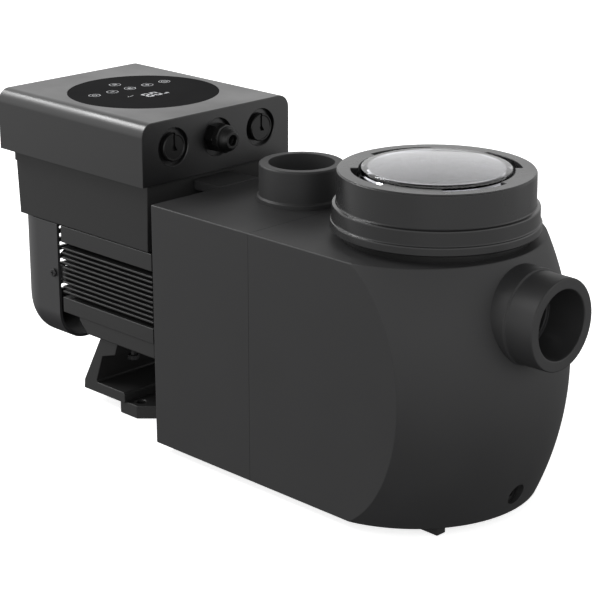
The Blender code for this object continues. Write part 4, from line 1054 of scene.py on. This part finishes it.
def build_fan_guard():
    guard = guard_form("fan_guard", 0, GUARD_HIGH.x)
    inside = guard_form("guard_inside", GUARD_WALL, GUARD_HIGH.x + 5)
    slots = []
    reach, pitch, slot_h = 45, 9, 4.4
    for i in range(-4, 5):
        z = SHAFT_Z - 6 + pitch * i
        half = math.sqrt(reach ** 2 - (pitch * i) ** 2)
        slot = rounded_outline(half, z - slot_h / 2, z + slot_h / 2, 2, 2, steps=5)
        slots.append(prism("air_slot", [slot], "X", (-325, -310)))
    cut(guard, inside, rod("screw_holes", GUARD_SCREW_HOLE_R, 90, -90, GUARD_SCREWS, steps=32), *slots)
    finish_piece(guard, "fan_cover", GUARD_BLACK)

    for side, sign in (("left", 1), ("right", -1)):
        node = "fan_cover_screw_" + side
        low, high = corners(node)
        tip, face, seat = (low.y, high.y, high.y - 2.2) if sign > 0 else (high.y, low.y, low.y + 2.2)
        profile = [(0, -face), (4.2, -face), (4.2, -seat), (2.1, -seat), (2.1, -tip), (0, -tip)]
        screw = turned("guard_screw_" + side, profile, GUARD_SCREWS, [0, 1.1, 0.2, 0.1, 0.4, 0], steps=48)
        recess = [soft_box("recess", (GUARD_SCREW_X - a, face - 1.1, SHAFT_Z - b),
                           (GUARD_SCREW_X + a, face + 1.1, SHAFT_Z + b), 0.15)
                  for a, b in ((2.4, 0.45), (0.45, 2.4))]
        finish_piece(cut(screw, *recess), node)


def build_fan():
    hub = turned("motor_fan", [(13, -262), (13, -286), (7.3, -286), (7.3, -262)], SHAFT, radius=0.8, steps=72)
    disc = turned("fan_disc", [(47, -264), (47, -266), (12, -267.5), (12, -264)], SHAFT, radius=0.6, steps=120)
    blades = []
    blade_count, arc_steps, root_r, tip_r, lean, half_t = 7, 10, 11.5, 45, 0.35, 0.9
    for k in range(blade_count):
        near, far = [], []
        for i in range(arc_steps + 1):
            r = root_r + (tip_r - root_r) * i / arc_steps
            angle = k * math.tau / blade_count + lean * (i / arc_steps) ** 2
            near.append(polar(r, angle - half_t / r, (0, SHAFT_Z)))
            far.append(polar(r, angle + half_t / r, (0, SHAFT_Z)))
        blades.append(prism("blade", [soften(near + far[::-1], 0.4, steps=2)], "X", (-284, -265), edge_r=0.3))
    finish_piece(join(hub, disc, *blades), "cooling_fan")


def build_stand():
    """The C-shaped motor bracket on its bolting plate."""
    half_w = STAND_HIGH.y
    profile = [(-186.5, 72.6), (-160.4, 72.6), (-165.3, 58.8), (-184.6, 52.8), (-194.9, 24.9), (-193.5, 23.2),
               (-152.4, 23.2), (-152.4, 12.3), (-215, 12.3), (-213.9, 21.8)]
    profile = soften(profile[::-1], [1.6, 1, 1, 1, 1.2, 1.6, 2.5, 1.2, 1, 1.2][::-1])
    stand = prism("motor_stand", [profile], "Y", (-half_w, half_w), edge_r=0.8)
    plan = [(-162, -73), (-137, -73), (-119, -55), (-104, -55), (-104, 55), (-119, 55), (-137, 73), (-162, 73)]
    plate = prism("stand_plate", [soften(plan, 1.5)], "Z", (STAND_LOW.z, 13.4), edge_r=0.9)
    anchor_x, anchor_y = -143, 62
    anchors = [turned("anchor", [(0, 30), (6.4, 30), (6.4, 13.8), (5, 12.4), (5, -10), (0, -10)],
                      ("Z", (anchor_x, y, 0)), steps=48) for y in (-anchor_y, anchor_y)]
    cut(join(stand, plate), *anchors, *stand_bolt_holes(80, 50))
    finish_piece(stand, "motor_foot", STAND_BLACK)

    for side, y in (("left", STAND_BOLT_Y), ("right", -STAND_BOLT_Y)):
        at = (STAND_BOLT_X, y, 0)
        bolt = prism("stand_bolt_" + side, [hexagon(10, 0.4)], "Z", (46, 50.6), at, 0.4)
        join(bolt, rod("shank", 3, 86, 50, ("Z", at), 0.6, 32))
        finish_piece(bolt, "foot_bolt_" + side)

    bridge = soft_box("bridge_strip", BRIDGE_LOW, BRIDGE_HIGH, 1.2)
    finish_piece(bridge, "bridge_cover")


# ---------------------------------------------------------------- controller

def build_controller_base():
    low, high = HOUSING_LOW, HOUSING_HIGH
    half_w, z0 = 81, low.z
    ends = soften([(-299, z0), (-105, z0), (-103, 247), (-303, 247)], [0.8, 0.8, 0.3, 0.3])
    base = prism("controller_base", [ends], "Y", (-half_w, half_w), edge_r=0.8)
    flange = soft_box("base_flange", (low.x, low.y, 244.6), (high.x, high.y, high.z), 0.6)
    ledge = soft_box("base_ledge", (low.x + 1.2, -half_w + 0.6, 231), (-298, half_w - 0.6, 246), 0.5)
    hollow = soft_box("base_hollow", (-295, -77, 182.5), (-109, 77, 260), 3)
    posts = [rod("post", 4, 204.7, 181, ("Z", (x, y, 0)), steps=32) for x in (-280, -125) for y in (-62, 62)]
    join(cut(join(base, flange, ledge), hollow), *posts)
    finish_piece(base, "controller_housing", HOUSING_BLACK)


def build_controller_lid():
    low, high, wall, corner_r = COVER_LOW, COVER_HIGH, 3.5, 13
    outline = rounded_outline(high.y, low.z, high.z, 0, corner_r)
    lid = prism("controller_lid", [outline], "X", (low.x, high.x), edge_r=0.7)
    outline = rounded_outline(high.y - wall, low.z - 10, high.z - wall, 0, corner_r - wall)
    cut(lid, prism("lid_hollow", [outline], "X", (low.x + wall, high.x - wall)))
    bosses, wells, face_x = [], [], high.x
    for y in (-ENTRY_Y, 0, ENTRY_Y):
        at = along_x(y, ENTRY_Z)
        bosses.append(rod("boss", 21, face_x - 1.5, ENTRY_FLOOR_X - 5, at))
        wells.append(turned("well", [(0, -80), (19, -80), (19, face_x + 0.4), (18, face_x - 0.6),
                                     (18, ENTRY_FLOOR_X), (10.4, ENTRY_FLOOR_X), (10.4, -120), (0, -120)], at))
    gap = 0.3
    panel_well = rod("panel_well", PANEL_R + gap, 320, PANEL_LOW.z - gap, PANEL_AXIS, steps=192)
    cut(join(lid, *bosses), *wells, panel_well)
    finish_piece(lid, "controller_cover")

    panel = rod("control_panel", PANEL_R, PANEL_HIGH.z, PANEL_LOW.z, PANEL_AXIS, [0, 0.5, 0.2, 0], steps=192)
    finish_piece(panel, "touch_panel")

    seal_low, seal_high = corners("controller_gasket")
    outer = rectangle(seal_low.x, seal_low.y, seal_high.x, seal_high.y)
    inner = rectangle(low.x + 9, -84, high.x - 12, 84)
    seal = prism("base_seal", [soften(outer, 2), soften(inner, 3)], "Z", (seal_low.z, seal_high.z), edge_r=0.5)
    finish_piece(seal, "controller_gasket")


# Marks on the panel: `across` runs to the reader's right (+Y) and `up` away from them (-X).

def mark_bar(across, up, width, height):
    a, b = width / 2, height / 2
    return [rectangle(across - a, up - b, across + a, up + b)]


def mark_arc(across, up, radius, line, start=0, end=360, steps=40):
    """A ring, or part of one, drawn with a line of that width."""
    full = end - start >= 360
    angles = [math.radians(start + (end - start) * i / steps) for i in range(steps if full else steps + 1)]
    outer, inner = ([polar(r, a, (across, up)) for a in angles] for r in (radius + line / 2, radius - line / 2))
    return [outer, inner] if full else [outer + inner[::-1]]


def mark_digit(across, up, lit, width=7.6, height=14, stroke=1.7):
    """A seven-segment digit; `lit` names its segments, a to g."""
    w, h = width / 2, height / 2
    gap = 0.35
    upright = (stroke, h - stroke - gap)
    side, level = w - stroke / 2, h - stroke / 2
    places = {
        "a": (0, level, width - stroke, stroke), "d": (0, -level, width - stroke, stroke),
        "g": (0, 0, width - 2 * stroke, stroke),
        "f": (-side, h / 2, *upright), "b": (side, h / 2, *upright),
        "e": (-side, -h / 2, *upright), "c": (side, -h / 2, *upright),
    }
    return [mark_bar(across + places[s][0], up + places[s][1], *places[s][2:]) for s in lit]


def panel_marks():
    """Six touch keys with plain symbols, three dots, a two-digit display and a level bar."""
    ring_r, line, row, column = 5.6, 0.55, 20, 22.3
    keys = {"power": (-2 * column, row), "down": (-column, row), "hold": (0, 43), "set": (0, row),
            "up": (column, row), "timer": (2 * column, row)}
    marks = [mark_arc(*place, ring_r, line) for place in keys.values()]
    x, y = keys["power"]
    marks += [mark_arc(x, y, 2.3, 0.6, 120, 420), mark_bar(x, y + 2, 0.6, 2.6)]
    x, y = keys["down"]
    marks += [mark_bar(x, y, 4.6, 1.1)]
    x, y = keys["up"]
    marks += [mark_bar(x, y, 4.6, 1.1), mark_bar(x, y + 1.45, 1.1, 1.7), mark_bar(x, y - 1.45, 1.1, 1.7)]
    x, y = keys["hold"]
    marks += [mark_bar(x - 1.3, y, 1.1, 4.2), mark_bar(x + 1.3, y, 1.1, 4.2)]
    x, y = keys["set"]
    marks += [mark_bar(x, y + shift, 5, 0.8) for shift in (-1.8, 0, 1.8)]
    x, y = keys["timer"]
    marks += [mark_arc(x, y, 2.9, 0.5), mark_bar(x, y + 0.9, 0.5, 1.9), mark_bar(x + 0.8, y, 1.6, 0.5)]
    marks += [mark_bar(-column + shift, -7.6 + abs(shift) * 0.15, 1.6, 0.9) for shift in (-2.6, 0, 2.6)]
    for across, lit in ((-7.6, "abcdefg"), (2.6, "abcdef")):
        marks += mark_digit(across, -15.5, lit)
    marks += [mark_bar(9.4 + 2.2 * i, -21 + 0.5 * i, 1.3, 2 + i) for i in range(3)]
    return marks


def build_panel_marks():
    """Thin printed ink that stands just proud of the panel."""
    ink_z = (PANEL_HIGH.z - 0.02, PANEL_HIGH.z + 0.05)
    pieces = []
    for outlines in panel_marks():
        placed = [[(PANEL_X - up, across) for across, up in outline] for outline in outlines]
        pieces.append(prism("panel_marks", placed, "Z", ink_z))
    bm = bmesh.new()
    for part in pieces:
        bm.from_mesh(part.data)
        bpy.data.objects.remove(part, do_unlink=True)
    finish_piece(add_object("panel_marks", mesh_from("panel_marks", bm)), mat=INK, slot="panel_glass")


# ---------------------------------------------------------------- build

for build in (refinish_cad_nodes, build_studio, build_tank, build_volute, build_tank_foot, build_lid, build_ring,
              build_basket, build_drain_plug, build_entry_plugs, build_gland, build_motor_frame, build_end_bells,
              build_pump_plate, build_fan_guard, build_fan, build_stand, build_controller_base,
              build_controller_lid, build_panel_marks):
    build()
